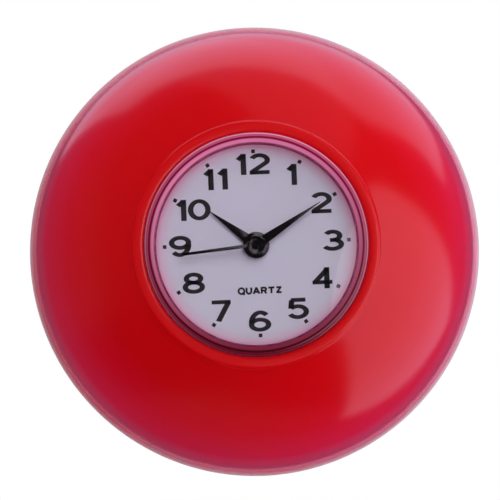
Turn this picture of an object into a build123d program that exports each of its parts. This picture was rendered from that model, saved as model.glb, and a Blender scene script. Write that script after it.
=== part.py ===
"""Suction-cup wall clock: a soft cup with a sealed quartz clock insert that pulls out of its front.

Millimetres. +Z is up, the dial faces -Y, and the origin is where the clock axis meets the wall.
Heights run forward from the wall, so a height h lies at y = -h.
"""

import os
from math import cos, radians, sin

from build123d import *

# Suction cup body
CUP_RADIUS = 35.0
LIP_WIDTH = 0.8
LIP_THICKNESS = 0.9
COLLAR_WALL = 1.82
COLLAR_TOP = 26.0
COLLAR_RISE = 0.8
CAVITY_RIM = 1.8
CAVITY_RADIUS = CUP_RADIUS - CAVITY_RIM
CAVITY_HEIGHT = 5.6
POCKET_FLOOR = 8.6

# Insert: case and lens
INSERT_RADIUS = 17.0
INSERT_FIT = 0.08
COLLAR_RADIUS = INSERT_RADIUS + INSERT_FIT + COLLAR_WALL
CASE_STEP = 0.6
CASE_BODY_RADIUS = INSERT_RADIUS - CASE_STEP
CASE_WALL = 1.8
CASE_BORE = CASE_BODY_RADIUS - CASE_WALL
CASE_BACK = 1.8
SKIRT = 1.5
SPIGOT_RADIUS = INSERT_RADIUS - SKIRT
FLANGE_BOTTOM = 18.0
FLANGE_TOP = 20.2
LENS_GASKET = 0.4
LEDGE = 0.9
LEDGE_BORE = CASE_BORE - LEDGE
LEDGE_THICKNESS = 1.0
LENS_RIM_TOP = 27.1
LENS_RIM = 1.7
LENS_WINDOW_RADIUS = INSERT_RADIUS - LENS_RIM
LENS_EDGE_TOP = 26.75
LENS_CROWN = 27.15
LENS_INNER = 25.7

# Movement plates
PLATE_GAP = 0.3
PLATE_RADIUS = CASE_BORE - PLATE_GAP
PLATE = 0.8
BRIDGE_REAR = 16.8
GEAR_SPACE = 2.8
MOTION_SPACE = 1.6
PILLAR_RADIUS = 1.3
PILLAR_SPOTS = ((9.0, 8.2), (-6.6, 10.4), (10.4, -6.6), (-6.6, -10.4))
SCREW_SHANK = 0.45
SCREW_HEAD = 0.9
SCREW_HEAD_HEIGHT = 0.4
SCREW_LENGTH = 2.6
SPACER_WALL = 0.9
SPACER_BORE = CASE_BORE - SPACER_WALL

# Dial and hands
DIAL_GAP = 0.1
DIAL_RADIUS = SPIGOT_RADIUS - DIAL_GAP
DIAL = 0.4
DIAL_HOLE = 1.4
HAND_THICKNESS = 0.2
HOUR_HAND_HEIGHT = 23.6
MINUTE_HAND_HEIGHT = 24.2
SECOND_HAND_HEIGHT = 24.8
HOUR_HAND_LENGTH = 8.6
HOUR_HAND_WIDTH = 1.45
HOUR_BOSS = 1.9
MINUTE_HAND_LENGTH = 11.7
MINUTE_HAND_WIDTH = 1.15
MINUTE_BOSS = 1.3
SECOND_HAND_LENGTH = 11.4
SECOND_HAND_WIDTH = 0.26
SECOND_HAND_TIP = 0.42
SECOND_BOSS = 1.0
HAND_POINT = 0.24
CAP_RADIUS = 1.4
CAP_THICKNESS = 0.4
HOUR_ANGLE = 308.1
MINUTE_ANGLE = 58.3
SECOND_ANGLE = 264.7

# Going train: teeth, modules and wheels
TRAIN_MODULE = 0.12
ROTOR_TEETH = 8
FIFTH_TEETH = 48
FIFTH_PINION_TEETH = 12
SECOND_TEETH = 60
SECOND_PINION_TEETH = 8
THIRD_TEETH = 64
THIRD_PINION_TEETH = 8
CENTRE_TEETH = 60
CANNON_TEETH = 12
MOTION_TEETH = 36
MOTION_PINION_TEETH = 10
HOUR_TEETH = 40
MOTION_MODULE = 0.2
TOOTH_SHARE = 0.44
WHEEL = 0.35
PINION_OVERHANG = 0.15
FIFTH_DIRECTION = 180.0
ROTOR_DIRECTION = 180.0
THIRD_DIRECTION = 0.0
MOTION_DIRECTION = 90.0
SECOND_WHEEL_HEIGHT = 17.95
THIRD_WHEEL_HEIGHT = 18.6
FIFTH_WHEEL_HEIGHT = 18.9
CENTRE_WHEEL_HEIGHT = 19.55
CANNON_HEIGHT = 21.4
HOUR_WHEEL_HEIGHT = 22.05

# Arbors and running clearances
RUNNING = 0.04
PIVOT_RADIUS = 0.2
ARBOR_RADIUS = 0.3
CENTRE_TUBE_WALL = 0.3
HOUR_TUBE_WALL = 0.35
MOTION_ARBOR_RADIUS = 0.5

# Motor
MAGNET_RADIUS = 1.0
MAGNET_THICKNESS = 0.7
STATOR_GAP = 0.35
STATOR = 0.5
STATOR_HEIGHT = 17.6
STATOR_RING = 2.2
COIL_X = -11.2
CORE_WIDTH = 1.0
CORE_LENGTH = 12.0
CORE_THICKNESS = 0.5
BOBBIN_WIDTH = 2.4
BOBBIN_LENGTH = 7.6
BOBBIN_FLANGE = 0.4
STATOR_SCREW_SHANK = 0.3
STATOR_SCREW_HEAD = 0.5
STATOR_SCREW_HEAD_HEIGHT = 0.25

# Circuit
BOARD_CENTRE = (5.7, 6.1)
BOARD_SIZE = (8.2, 5.8)
BOARD = 0.6
CHIP_SPOT = (3.6, 5.0)
CHIP_RADIUS = 1.2
CHIP_HEIGHT = 0.7
CRYSTAL_SPOT = (6.0, 8.0)
CRYSTAL_RADIUS = 0.75
CRYSTAL_LENGTH = 5.0

# Button cell, its contacts and cover
CELL_RADIUS = 5.8
CELL_HEIGHT = 5.4
CELL_Z = -7.4
CELL_CAP_RADIUS = 4.7
CELL_RING_RADIUS = 5.1
CELL_CAP_HEIGHT = 0.5
CELL_STAND = 2.3
CELL_WALL_BORE = 6.25
CELL_WALL = 0.7
CELL_WALL_HEIGHT = 4.6
CELL_WALL_START = 22.0
CELL_WALL_ARC = 92.0
CONTACT = 0.2
CONTACT_LEAF_WIDTH = 2.0
COVER_RADIUS = 6.8
COVER_FIT = 0.08
COVER_BORE = 6.2
COVER_RECESS = 0.2
COVER_FLANGE = 0.5
COVER_GASKET = 0.3
COVER_LUG_REACH = 0.65
COVER_LUG_WIDTH = 3.2
COVER_LUG_GAP = 0.1
COVER_TURN = 45.0
COIN_SLOT = (8.0, 1.3)
COIN_SLOT_DEPTH = 0.9

# Setting knob
KNOB_RADIUS = 2.5
KNOB_FIT = 0.3
KNOB_RECESS = 1.1
KNOB_THICKNESS = 0.9
KNOB_GROOVES = 12
KNOB_SEAL = 0.35

# Heights that follow
CASE_INNER = POCKET_FLOOR + CASE_BACK
BRIDGE_FRONT = BRIDGE_REAR + PLATE
MAIN_REAR = BRIDGE_FRONT + GEAR_SPACE
MAIN_FRONT = MAIN_REAR + PLATE
DIAL_REAR = MAIN_FRONT + MOTION_SPACE
DIAL_FRONT = DIAL_REAR + DIAL
CELL_REAR = POCKET_FLOOR + CELL_STAND
CELL_FRONT = CELL_REAR + CELL_HEIGHT
COVER_STEP = POCKET_FLOOR + COVER_RECESS + COVER_FLANGE + COVER_GASKET
BOARD_REAR = BRIDGE_REAR - BOARD

# Centre distances that follow from the teeth; each second pair takes the module that its distance asks for
SECOND_TO_FIFTH = TRAIN_MODULE * (SECOND_TEETH + FIFTH_PINION_TEETH) / 2
FIFTH_TO_ROTOR = TRAIN_MODULE * (FIFTH_TEETH + ROTOR_TEETH) / 2
SECOND_TO_THIRD = TRAIN_MODULE * (SECOND_PINION_TEETH + THIRD_TEETH) / 2
CENTRE_MODULE = 2 * SECOND_TO_THIRD / (THIRD_PINION_TEETH + CENTRE_TEETH)
CANNON_TO_MOTION = MOTION_MODULE * (CANNON_TEETH + MOTION_TEETH) / 2
HOUR_MODULE = 2 * CANNON_TO_MOTION / (MOTION_PINION_TEETH + HOUR_TEETH)

# Tubes on the clock axis
CENTRE_TUBE_BORE = ARBOR_RADIUS + RUNNING
CENTRE_TUBE = CENTRE_TUBE_BORE + CENTRE_TUBE_WALL
HOUR_TUBE_BORE = CENTRE_TUBE + RUNNING
HOUR_TUBE = HOUR_TUBE_BORE + HOUR_TUBE_WALL


def away(start, direction, distance):
    """A point a distance from another, in a direction in degrees counter-clockwise from +X."""
    angle = radians(direction)
    return (start[0] + distance * cos(angle), start[1] + distance * sin(angle))


def meshed(teeth_a, phase_a, direction, teeth_b):
    """The angle of a tooth of wheel B that puts a gap of B around a tooth of wheel A."""
    return direction + 180.0 - (phase_a - direction) * teeth_a / teeth_b + 180.0 / teeth_b


def at_height(height, spot=(0.0, 0.0)):
    """A plane that faces the viewer at a height from the wall, with its origin at a spot on the dial."""
    return Plane(origin=(spot[0], -height, spot[1]), x_dir=(1, 0, 0), z_dir=(0, -1, 0))


def section():
    """A half section through the clock axis: x is the radius and y is the height from the wall."""
    return Plane(origin=(0, 0, 0), x_dir=(1, 0, 0), z_dir=(0, 0, -1))


def polygon_ring(module, teeth, phase, share):
    """The outline of a toothed wheel as a closed run of points."""
    pitch = module * teeth / 2
    tip = pitch + module
    root = pitch - 1.25 * module
    step = 360.0 / teeth
    wide = step * share / 2
    points = []
    for tooth in range(teeth):
        middle = phase + tooth * step
        root_half = min(wide * 1.6, step * 0.46)
        tip_half = wide * 0.42
        for angle, radius in (
            (middle - root_half, root),
            (middle - wide, pitch),
            (middle - tip_half, tip),
            (middle + tip_half, tip),
            (middle + wide, pitch),
            (middle + root_half, root),
        ):
            points.append((radius * cos(radians(angle)), radius * sin(radians(angle))))
    return points


def toothed(module, teeth, phase, spot, height, thickness, spokes=0):
    """A toothed disc, with round lightening holes when spokes is given."""
    with BuildPart() as wheel:
        with BuildSketch(at_height(height, spot)):
            with BuildLine():
                Polyline(*polygon_ring(module, teeth, phase, TOOTH_SHARE), close=True)
            make_face()
            if spokes:
                rim = module * (teeth / 2 - 2.6)
                hole = rim * 0.27
                with PolarLocations(rim * 0.64, spokes):
                    Circle(hole, mode=Mode.SUBTRACT)
        extrude(amount=thickness)
    return wheel.part


def rod(spot, radius, bottom, top):
    """A plain round rod or disc between two heights."""
    with BuildPart() as bar:
        with BuildSketch(at_height(bottom, spot)):
            Circle(radius)
        extrude(amount=top - bottom)
    return bar.part


def hand(length, width, point, boss, bore, clock_angle, height):
    """A tapered hand with a round boss, pointing at a clock angle."""
    angle = radians(clock_angle)
    turned = Plane(origin=(0, -height, 0), x_dir=(cos(angle), 0, -sin(angle)), z_dir=(0, -1, 0))
    with BuildPart() as pointer:
        with BuildSketch(turned):
            with BuildLine():
                Polyline((-width / 2, 0), (-point / 2, length), (point / 2, length), (width / 2, 0), close=True)
            make_face()
            Circle(boss)
            Circle(bore, mode=Mode.SUBTRACT)
        extrude(amount=HAND_THICKNESS)
    return pointer.part


# Where each arbor stands
CENTRE = (0.0, 0.0)
FIFTH = away(CENTRE, FIFTH_DIRECTION, SECOND_TO_FIFTH)
ROTOR = away(FIFTH, ROTOR_DIRECTION, FIFTH_TO_ROTOR)
THIRD = away(CENTRE, THIRD_DIRECTION, SECOND_TO_THIRD)
MOTION = away(CENTRE, MOTION_DIRECTION, CANNON_TO_MOTION)
CELL = (0.0, CELL_Z)

# Suction cup body: dome, raised collar with the pocket, thin lip and the hollow behind
collar_base = COLLAR_TOP - COLLAR_RISE
dome_radius = CUP_RADIUS - LIP_WIDTH
dome_reach = (1 - (COLLAR_RADIUS / dome_radius) ** 2) ** 0.5
dome_half = (collar_base - LIP_THICKNESS) / dome_reach
pocket_radius = INSERT_RADIUS + INSERT_FIT

with BuildPart() as suction_body:
    with BuildSketch(section()):
        with BuildLine():
            hollow = Spline(
                (0, CAVITY_HEIGHT),
                (CAVITY_RADIUS * 0.6, CAVITY_HEIGHT * 0.8),
                (CAVITY_RADIUS, 0),
                tangents=((1, 0), (0.6, -1)),
            )
            foot = Line(hollow @ 1, (CUP_RADIUS, 0))
            lip = Line(foot @ 1, (CUP_RADIUS, LIP_THICKNESS * 0.6))
            lip_edge = Line(lip @ 1, (CUP_RADIUS - 0.3, LIP_THICKNESS))
            lip_top = Line(lip_edge @ 1, (dome_radius, LIP_THICKNESS))
            dome = Spline(
                lip_top @ 1,
                (dome_radius * cos(radians(18)), LIP_THICKNESS + dome_half * sin(radians(18))),
                (dome_radius * cos(radians(36)), LIP_THICKNESS + dome_half * sin(radians(36))),
                (COLLAR_RADIUS, collar_base),
                tangents=((0, 1), (-dome_reach * dome_radius, dome_half * COLLAR_RADIUS / dome_radius)),
            )
            collar_side = Line(dome @ 1, (COLLAR_RADIUS - 0.1, COLLAR_TOP - 0.45))
            collar_edge = Line(collar_side @ 1, (COLLAR_RADIUS - 0.5, COLLAR_TOP))
            collar_face = Line(collar_edge @ 1, (pocket_radius + 0.25, COLLAR_TOP))
            pocket_edge = Line(collar_face @ 1, (pocket_radius, COLLAR_TOP - 0.25))
            pocket_wall = Line(pocket_edge @ 1, (pocket_radius, POCKET_FLOOR))
            pocket_base = Line(pocket_wall @ 1, (0, POCKET_FLOOR))
            Line(pocket_base @ 1, hollow @ 0)
        make_face()
    revolve(axis=Axis.Y)
suction_body.part.label = "suction_body"

# Insert case: tub with battery opening, bayonet ledge, knob recess, ledge for the movement and lens spigot
with BuildPart() as case:
    with BuildSketch(section()):
        with BuildLine():
            Polyline(
                (0, POCKET_FLOOR),
                (CASE_BODY_RADIUS - 0.6, POCKET_FLOOR),
                (CASE_BODY_RADIUS, POCKET_FLOOR + 0.6),
                (CASE_BODY_RADIUS, FLANGE_BOTTOM),
                (INSERT_RADIUS, FLANGE_BOTTOM),
                (INSERT_RADIUS, FLANGE_TOP),
                (SPIGOT_RADIUS, FLANGE_TOP),
                (SPIGOT_RADIUS, DIAL_REAR),
                (CASE_BORE, DIAL_REAR),
                (CASE_BORE, BRIDGE_REAR),
                (LEDGE_BORE, BRIDGE_REAR),
                (LEDGE_BORE, BRIDGE_REAR - LEDGE_THICKNESS),
                (CASE_BORE, BRIDGE_REAR - LEDGE_THICKNESS - (CASE_BORE - LEDGE_BORE)),
                (CASE_BORE, CASE_INNER),
                (0, CASE_INNER),
                close=True,
            )
        make_face()
    revolve(axis=Axis.Y)
    with BuildSketch(at_height(POCKET_FLOOR, CELL)):
        Circle(COVER_RADIUS + COVER_FIT)
    extrude(amount=COVER_STEP - POCKET_FLOOR, mode=Mode.SUBTRACT)
    with BuildSketch(at_height(POCKET_FLOOR, CELL)):
        Circle(COVER_BORE)
        with PolarLocations(COVER_BORE, 2, start_angle=-COVER_TURN):
            Rectangle(2 * (COVER_LUG_REACH + COVER_FIT), COVER_LUG_WIDTH + 0.4)
    extrude(amount=CASE_BACK, mode=Mode.SUBTRACT)
    with BuildSketch(at_height(POCKET_FLOOR, MOTION)):
        Circle(KNOB_RADIUS + KNOB_FIT)
    extrude(amount=KNOB_RECESS, mode=Mode.SUBTRACT)
    with BuildSketch(at_height(POCKET_FLOOR, MOTION)):
        Circle(MOTION_ARBOR_RADIUS + KNOB_SEAL)
    extrude(amount=CASE_BACK, mode=Mode.SUBTRACT)
    with BuildSketch(at_height(CASE_INNER, CELL)):
        with BuildLine():
            inner = CenterArc((0, 0), CELL_WALL_BORE, CELL_WALL_START, CELL_WALL_ARC)
            outer = CenterArc((0, 0), CELL_WALL_BORE + CELL_WALL, CELL_WALL_START, CELL_WALL_ARC)
            Line(inner @ 0, outer @ 0)
            Line(inner @ 1, outer @ 1)
        make_face()
    extrude(amount=CELL_WALL_HEIGHT)
    with BuildSketch(at_height(CASE_INNER, CELL)):
        with BuildLine():
            far_inner = CenterArc((0, 0), CELL_WALL_BORE, CELL_WALL_START + 180.0, CELL_WALL_ARC)
            far_outer = CenterArc((0, 0), CELL_WALL_BORE + CELL_WALL, CELL_WALL_START + 180.0, CELL_WALL_ARC)
            Line(far_inner @ 0, far_outer @ 0)
            Line(far_inner @ 1, far_outer @ 1)
        make_face()
    extrude(amount=CELL_WALL_HEIGHT)
case.part.label = "case"

# Knob seal: a rubber washer in the case around the motion wheel's arbor
with BuildPart() as knob_seal:
    with BuildSketch(at_height(POCKET_FLOOR + KNOB_RECESS, MOTION)):
        Circle(MOTION_ARBOR_RADIUS + KNOB_SEAL)
        Circle(MOTION_ARBOR_RADIUS + RUNNING, mode=Mode.SUBTRACT)
    extrude(amount=CASE_BACK - KNOB_RECESS)
knob_seal.part.label = "knob_seal"

# Lens gasket between the case flange and the lens skirt
with BuildPart() as lens_gasket:
    with BuildSketch(at_height(FLANGE_TOP)):
        Circle(INSERT_RADIUS - 0.2)
        Circle(SPIGOT_RADIUS, mode=Mode.SUBTRACT)
    extrude(amount=LENS_GASKET)
lens_gasket.part.label = "lens_gasket"

# Lens cap: clear skirt, raised rounded rim and a slightly domed window
rim_round = 0.5
with BuildPart() as lens_cap:
    with BuildSketch(section()):
        with BuildLine():
            skirt_in = Line((SPIGOT_RADIUS, FLANGE_TOP + LENS_GASKET), (SPIGOT_RADIUS, LENS_INNER))
            ceiling = Line(skirt_in @ 1, (0, LENS_INNER))
            middle = Line(ceiling @ 1, (0, LENS_CROWN))
            window = Spline(
                middle @ 1,
                (LENS_WINDOW_RADIUS * 0.6, LENS_CROWN - (LENS_CROWN - LENS_EDGE_TOP) * 0.36),
                (LENS_WINDOW_RADIUS, LENS_EDGE_TOP),
                tangents=((1, 0), (1, -2 * (LENS_CROWN - LENS_EDGE_TOP) / LENS_WINDOW_RADIUS)),
            )
            step_up = Line(window @ 1, (LENS_WINDOW_RADIUS + 0.3, LENS_RIM_TOP))
            rim_flat = Line(step_up @ 1, (INSERT_RADIUS - rim_round, LENS_RIM_TOP))
            rim_edge = RadiusArc(rim_flat @ 1, (INSERT_RADIUS, LENS_RIM_TOP - rim_round), rim_round)
            skirt_out = Line(rim_edge @ 1, (INSERT_RADIUS, FLANGE_TOP + LENS_GASKET))
            Line(skirt_out @ 1, skirt_in @ 0)
        make_face()
    revolve(axis=Axis.Y)
lens_cap.part.label = "lens_cap"

# Spacer ring that holds the movement down and stands under the dial
with BuildPart() as spacer_ring:
    with BuildSketch(at_height(MAIN_FRONT)):
        Circle(CASE_BORE)
        Circle(SPACER_BORE, mode=Mode.SUBTRACT)
    extrude(amount=MOTION_SPACE)
spacer_ring.part.label = "spacer_ring"

# Dial
with BuildPart() as dial:
    with BuildSketch(at_height(DIAL_REAR)):
        Circle(DIAL_RADIUS)
        Circle(DIAL_HOLE, mode=Mode.SUBTRACT)
    extrude(amount=DIAL)
dial.part.label = "dial"

# Main plate: front plate of the movement, with its pillars and a post for each stator screw
stator_posts = ((COIL_X, CORE_LENGTH / 2 - 0.7), (COIL_X, 0.7 - CORE_LENGTH / 2))
stator_front = STATOR_HEIGHT + STATOR
core_front = stator_front + CORE_THICKNESS
with BuildPart() as main_plate:
    with BuildSketch(at_height(MAIN_REAR)):
        Circle(PLATE_RADIUS)
    extrude(amount=PLATE)
    with BuildSketch(at_height(BRIDGE_FRONT)):
        with Locations(*PILLAR_SPOTS):
            Circle(PILLAR_RADIUS)
    extrude(amount=GEAR_SPACE)
    with BuildSketch(at_height(core_front)):
        with Locations(*stator_posts):
            Circle(STATOR_SCREW_HEAD)
    extrude(amount=MAIN_REAR - core_front)
    with BuildSketch(at_height(BRIDGE_FRONT)):
        with Locations(*PILLAR_SPOTS):
            Circle(SCREW_SHANK)
    extrude(amount=SCREW_LENGTH - PLATE, mode=Mode.SUBTRACT)
    with BuildSketch(at_height(core_front)):
        with Locations(*stator_posts):
            Circle(STATOR_SCREW_SHANK)
    extrude(amount=1.0, mode=Mode.SUBTRACT)
    with BuildSketch(at_height(MAIN_REAR)):
        with Locations(FIFTH, ROTOR, THIRD):
            Circle(PIVOT_RADIUS + RUNNING)
        with Locations(MOTION):
            Circle(MOTION_ARBOR_RADIUS + RUNNING)
        with Locations(CENTRE):
            Circle(CENTRE_TUBE + RUNNING)
    extrude(amount=PLATE, mode=Mode.SUBTRACT)
main_plate.part.label = "main_plate"

# Bridge: rear plate of the movement
with BuildPart() as bridge:
    with BuildSketch(at_height(BRIDGE_REAR)):
        Circle(PLATE_RADIUS)
        with Locations(*PILLAR_SPOTS):
            Circle(SCREW_SHANK + 0.1, mode=Mode.SUBTRACT)
        with Locations(FIFTH, ROTOR, THIRD, CENTRE):
            Circle(PIVOT_RADIUS + RUNNING, mode=Mode.SUBTRACT)
        with Locations(MOTION):
            Circle(MOTION_ARBOR_RADIUS + RUNNING, mode=Mode.SUBTRACT)
        with Locations(*stator_posts):
            Circle(STATOR_SCREW_HEAD + 0.2, mode=Mode.SUBTRACT)
        with Locations((COIL_X, 0)):
            RectangleRounded(BOBBIN_WIDTH + 0.4, BOBBIN_LENGTH + 0.4, 0.3, mode=Mode.SUBTRACT)
    extrude(amount=PLATE)
bridge.part.label = "bridge"

# Four bridge screws
with BuildPart() as bridge_screws:
    with BuildSketch(at_height(BRIDGE_REAR - SCREW_HEAD_HEIGHT)):
        with Locations(*PILLAR_SPOTS):
            Circle(SCREW_HEAD)
    extrude(amount=SCREW_HEAD_HEIGHT)
    with BuildSketch(at_height(BRIDGE_REAR)):
        with Locations(*PILLAR_SPOTS):
            Circle(SCREW_SHANK)
    extrude(amount=SCREW_LENGTH)
    with BuildSketch(at_height(BRIDGE_REAR - SCREW_HEAD_HEIGHT)):
        with Locations(*PILLAR_SPOTS):
            Rectangle(2 * SCREW_HEAD, 0.3)
    extrude(amount=0.2, mode=Mode.SUBTRACT)
bridge_screws.part.label = "bridge_screws"

# Stator: two arms from the coil core ends to the ring around the rotor
arm_reach = CORE_LENGTH / 2
with BuildPart() as stator:
    with BuildSketch(at_height(STATOR_HEIGHT)):
        with Locations(ROTOR):
            Circle(STATOR_RING)
        with BuildLine():
            Polyline(
                (COIL_X - CORE_WIDTH / 2, arm_reach),
                (COIL_X + 1.2, arm_reach),
                (ROTOR[0] + 1.2, 1.5),
                (ROTOR[0] + 1.2, -1.5),
                (COIL_X + 1.2, -arm_reach),
                (COIL_X - CORE_WIDTH / 2, -arm_reach),
                (COIL_X - CORE_WIDTH / 2, 1.4 - arm_reach),
                (COIL_X + 0.9, 1.4 - arm_reach),
                (ROTOR[0] - 1.4, -1.5),
                (ROTOR[0] - 1.4, 1.5),
                (COIL_X + 0.9, arm_reach - 1.4),
                (COIL_X - CORE_WIDTH / 2, arm_reach - 1.4),
                close=True,
            )
        make_face()
        with Locations(ROTOR):
            Circle(MAGNET_RADIUS + STATOR_GAP, mode=Mode.SUBTRACT)
        with Locations((ROTOR[0], STATOR_RING), (ROTOR[0], -STATOR_RING)):
            Circle(0.35, mode=Mode.SUBTRACT)
        with Locations(*stator_posts):
            Circle(STATOR_SCREW_SHANK, mode=Mode.SUBTRACT)
    extrude(amount=STATOR)
stator.part.label = "stator"

# Coil core, bobbin and winding
with BuildPart() as coil_core:
    with BuildSketch(at_height(stator_front, (COIL_X, 0.0))):
        Rectangle(CORE_WIDTH, CORE_LENGTH)
        with Locations(*[(0, spot[1]) for spot in stator_posts]):
            Circle(STATOR_SCREW_SHANK, mode=Mode.SUBTRACT)
    extrude(amount=CORE_THICKNESS)
coil_core.part.label = "coil_core"

coil_middle = stator_front + CORE_THICKNESS / 2
coil_plane = Plane(origin=(COIL_X, -coil_middle, -BOBBIN_LENGTH / 2), x_dir=(1, 0, 0), z_dir=(0, 0, 1))
winding_plane = coil_plane.offset(BOBBIN_FLANGE)
sleeve = (CORE_WIDTH + 0.4, CORE_THICKNESS + 0.4)
with BuildPart() as coil_bobbin:
    with BuildSketch(coil_plane):
        Rectangle(*sleeve)
    extrude(amount=BOBBIN_LENGTH)
    with BuildSketch(coil_plane, coil_plane.offset(BOBBIN_LENGTH - BOBBIN_FLANGE)):
        Rectangle(BOBBIN_WIDTH, 1.9)
    extrude(amount=BOBBIN_FLANGE)
    with BuildSketch(coil_plane):
        Rectangle(CORE_WIDTH, CORE_THICKNESS)
    extrude(amount=BOBBIN_LENGTH, mode=Mode.SUBTRACT)
coil_bobbin.part.label = "coil_bobbin"

with BuildPart() as coil_winding:
    with BuildSketch(winding_plane):
        RectangleRounded(BOBBIN_WIDTH - 0.2, 1.7, 0.4)
        Rectangle(*sleeve, mode=Mode.SUBTRACT)
    extrude(amount=BOBBIN_LENGTH - 2 * BOBBIN_FLANGE)
coil_winding.part.label = "coil_winding"

# Two stator screws, their heads behind the stator
with BuildPart() as stator_screws:
    with BuildSketch(at_height(STATOR_HEIGHT - STATOR_SCREW_HEAD_HEIGHT)):
        with Locations(*stator_posts):
            Circle(STATOR_SCREW_HEAD)
    extrude(amount=STATOR_SCREW_HEAD_HEIGHT)
    with BuildSketch(at_height(STATOR_HEIGHT)):
        with Locations(*stator_posts):
            Circle(STATOR_SCREW_SHANK)
    extrude(amount=STATOR + CORE_THICKNESS + 0.9)
stator_screws.part.label = "stator_screws"

# Circuit board behind the bridge, its chip and crystal
with BuildPart() as circuit_board:
    with BuildSketch(at_height(BOARD_REAR, BOARD_CENTRE)):
        RectangleRounded(*BOARD_SIZE, 0.4)
    extrude(amount=BOARD)
    with BuildSketch(at_height(BOARD_REAR, PILLAR_SPOTS[0])):
        Circle(SCREW_HEAD + 0.25)
    extrude(amount=BOARD, mode=Mode.SUBTRACT)
circuit_board.part.label = "circuit_board"

with BuildPart() as chip:
    with BuildSketch(at_height(BOARD_REAR - CHIP_HEIGHT, CHIP_SPOT)):
        Circle(CHIP_RADIUS)
    extrude(amount=CHIP_HEIGHT)
    fillet(chip.edges().sort_by(Axis.Y)[-1:], 0.5)
chip.part.label = "chip"

with BuildPart() as crystal:
    crystal_origin = (CRYSTAL_SPOT[0] - CRYSTAL_LENGTH / 2, CRYSTAL_RADIUS - BOARD_REAR, CRYSTAL_SPOT[1])
    with BuildSketch(Plane(origin=crystal_origin, x_dir=(0, 1, 0), z_dir=(1, 0, 0))):
        Circle(CRYSTAL_RADIUS)
    extrude(amount=CRYSTAL_LENGTH)
crystal.part.label = "crystal"

# Battery contacts: a leaf beside the cell and a dimpled strip in front of it
board_edge = BOARD_CENTRE[1] - BOARD_SIZE[1] / 2
leaf_middle = CELL_Z
with BuildPart() as contact_positive:
    with BuildSketch(at_height(BOARD_REAR - CONTACT)):
        with Locations((CELL_RADIUS + 0.8, (board_edge + 0.8 + leaf_middle - CONTACT_LEAF_WIDTH / 2) / 2)):
            Rectangle(1.2, board_edge + 0.8 - leaf_middle + CONTACT_LEAF_WIDTH / 2)
    extrude(amount=CONTACT)
    with BuildSketch(at_height(CELL_REAR + 0.7)):
        with Locations((CELL_RADIUS + CONTACT / 2, leaf_middle)):
            Rectangle(CONTACT, CONTACT_LEAF_WIDTH)
    extrude(amount=BOARD_REAR - CELL_REAR - 0.7)
    with BuildSketch(at_height(BOARD_REAR - CONTACT)):
        with Locations((CELL_RADIUS + 0.25, leaf_middle)):
            Rectangle(0.5, CONTACT_LEAF_WIDTH)
    extrude(amount=CONTACT)
contact_positive.part.label = "contact_positive"

with BuildPart() as contact_negative:
    with BuildSketch(at_height(BRIDGE_REAR - CONTACT)):
        with Locations((2.6, (board_edge + CELL_Z) / 2)):
            Rectangle(1.6, board_edge - CELL_Z)
    extrude(amount=CONTACT)
    with BuildSketch(at_height(BRIDGE_REAR - CONTACT)):
        with Locations((1.3, CELL_Z + 0.8)):
            Rectangle(4.2, 1.6)
    extrude(amount=CONTACT)
    with BuildSketch(at_height(CELL_FRONT, (0.0, CELL_Z + 0.8))):
        Circle(0.8)
    extrude(amount=BRIDGE_REAR - CELL_FRONT)
contact_negative.part.label = "contact_negative"

# Button cell: can, cap and the seal ring between them
with BuildPart() as cell_can:
    with BuildSketch(at_height(CELL_REAR, CELL)):
        Circle(CELL_RADIUS)
    extrude(amount=CELL_HEIGHT - CELL_CAP_HEIGHT)
    rear_edge = cell_can.edges().sort_by(Axis.Y)[-1:]
    fillet(rear_edge, 0.3)
    with BuildSketch(at_height(CELL_REAR + 0.4, CELL)):
        Circle(CELL_RING_RADIUS)
    extrude(amount=CELL_HEIGHT, mode=Mode.SUBTRACT)
cell_can.part.label = "cell_can"

with BuildPart() as cell_ring:
    with BuildSketch(at_height(CELL_REAR + 0.4, CELL)):
        Circle(CELL_RING_RADIUS)
        Circle(CELL_CAP_RADIUS, mode=Mode.SUBTRACT)
    extrude(amount=CELL_HEIGHT - CELL_CAP_HEIGHT - 0.4)
cell_ring.part.label = "cell_ring"

with BuildPart() as cell_cap:
    with BuildSketch(at_height(CELL_REAR + 0.4, CELL)):
        Circle(CELL_CAP_RADIUS)
    extrude(amount=CELL_HEIGHT - 0.4)
    fillet(cell_cap.edges().sort_by(Axis.Y)[:1], 0.3)
cell_cap.part.label = "cell_cap"

# Battery cover with a coin slot and two bayonet lugs
cover_rear = POCKET_FLOOR + COVER_RECESS
lug_bottom = CASE_INNER + COVER_LUG_GAP
with BuildPart() as battery_cover:
    with BuildSketch(at_height(cover_rear, CELL)):
        Circle(COVER_RADIUS)
    extrude(amount=COVER_FLANGE)
    with BuildSketch(at_height(cover_rear + COVER_FLANGE, CELL)):
        Circle(COVER_BORE - RUNNING)
    extrude(amount=CELL_REAR - cover_rear - COVER_FLANGE)
    with BuildSketch(at_height(lug_bottom, CELL)):
        with PolarLocations(COVER_BORE - RUNNING, 2):
            Rectangle(2 * COVER_LUG_REACH, COVER_LUG_WIDTH)
    extrude(amount=CELL_REAR - lug_bottom)
    with BuildSketch(at_height(cover_rear, CELL)):
        SlotOverall(*COIN_SLOT)
    extrude(amount=COIN_SLOT_DEPTH, mode=Mode.SUBTRACT)
battery_cover.part.label = "battery_cover"

with BuildPart() as cover_gasket:
    with BuildSketch(at_height(cover_rear + COVER_FLANGE, CELL)):
        Circle(COVER_RADIUS - 0.05)
        Circle(COVER_BORE - RUNNING, mode=Mode.SUBTRACT)
    extrude(amount=COVER_GASKET)
cover_gasket.part.label = "cover_gasket"

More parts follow.
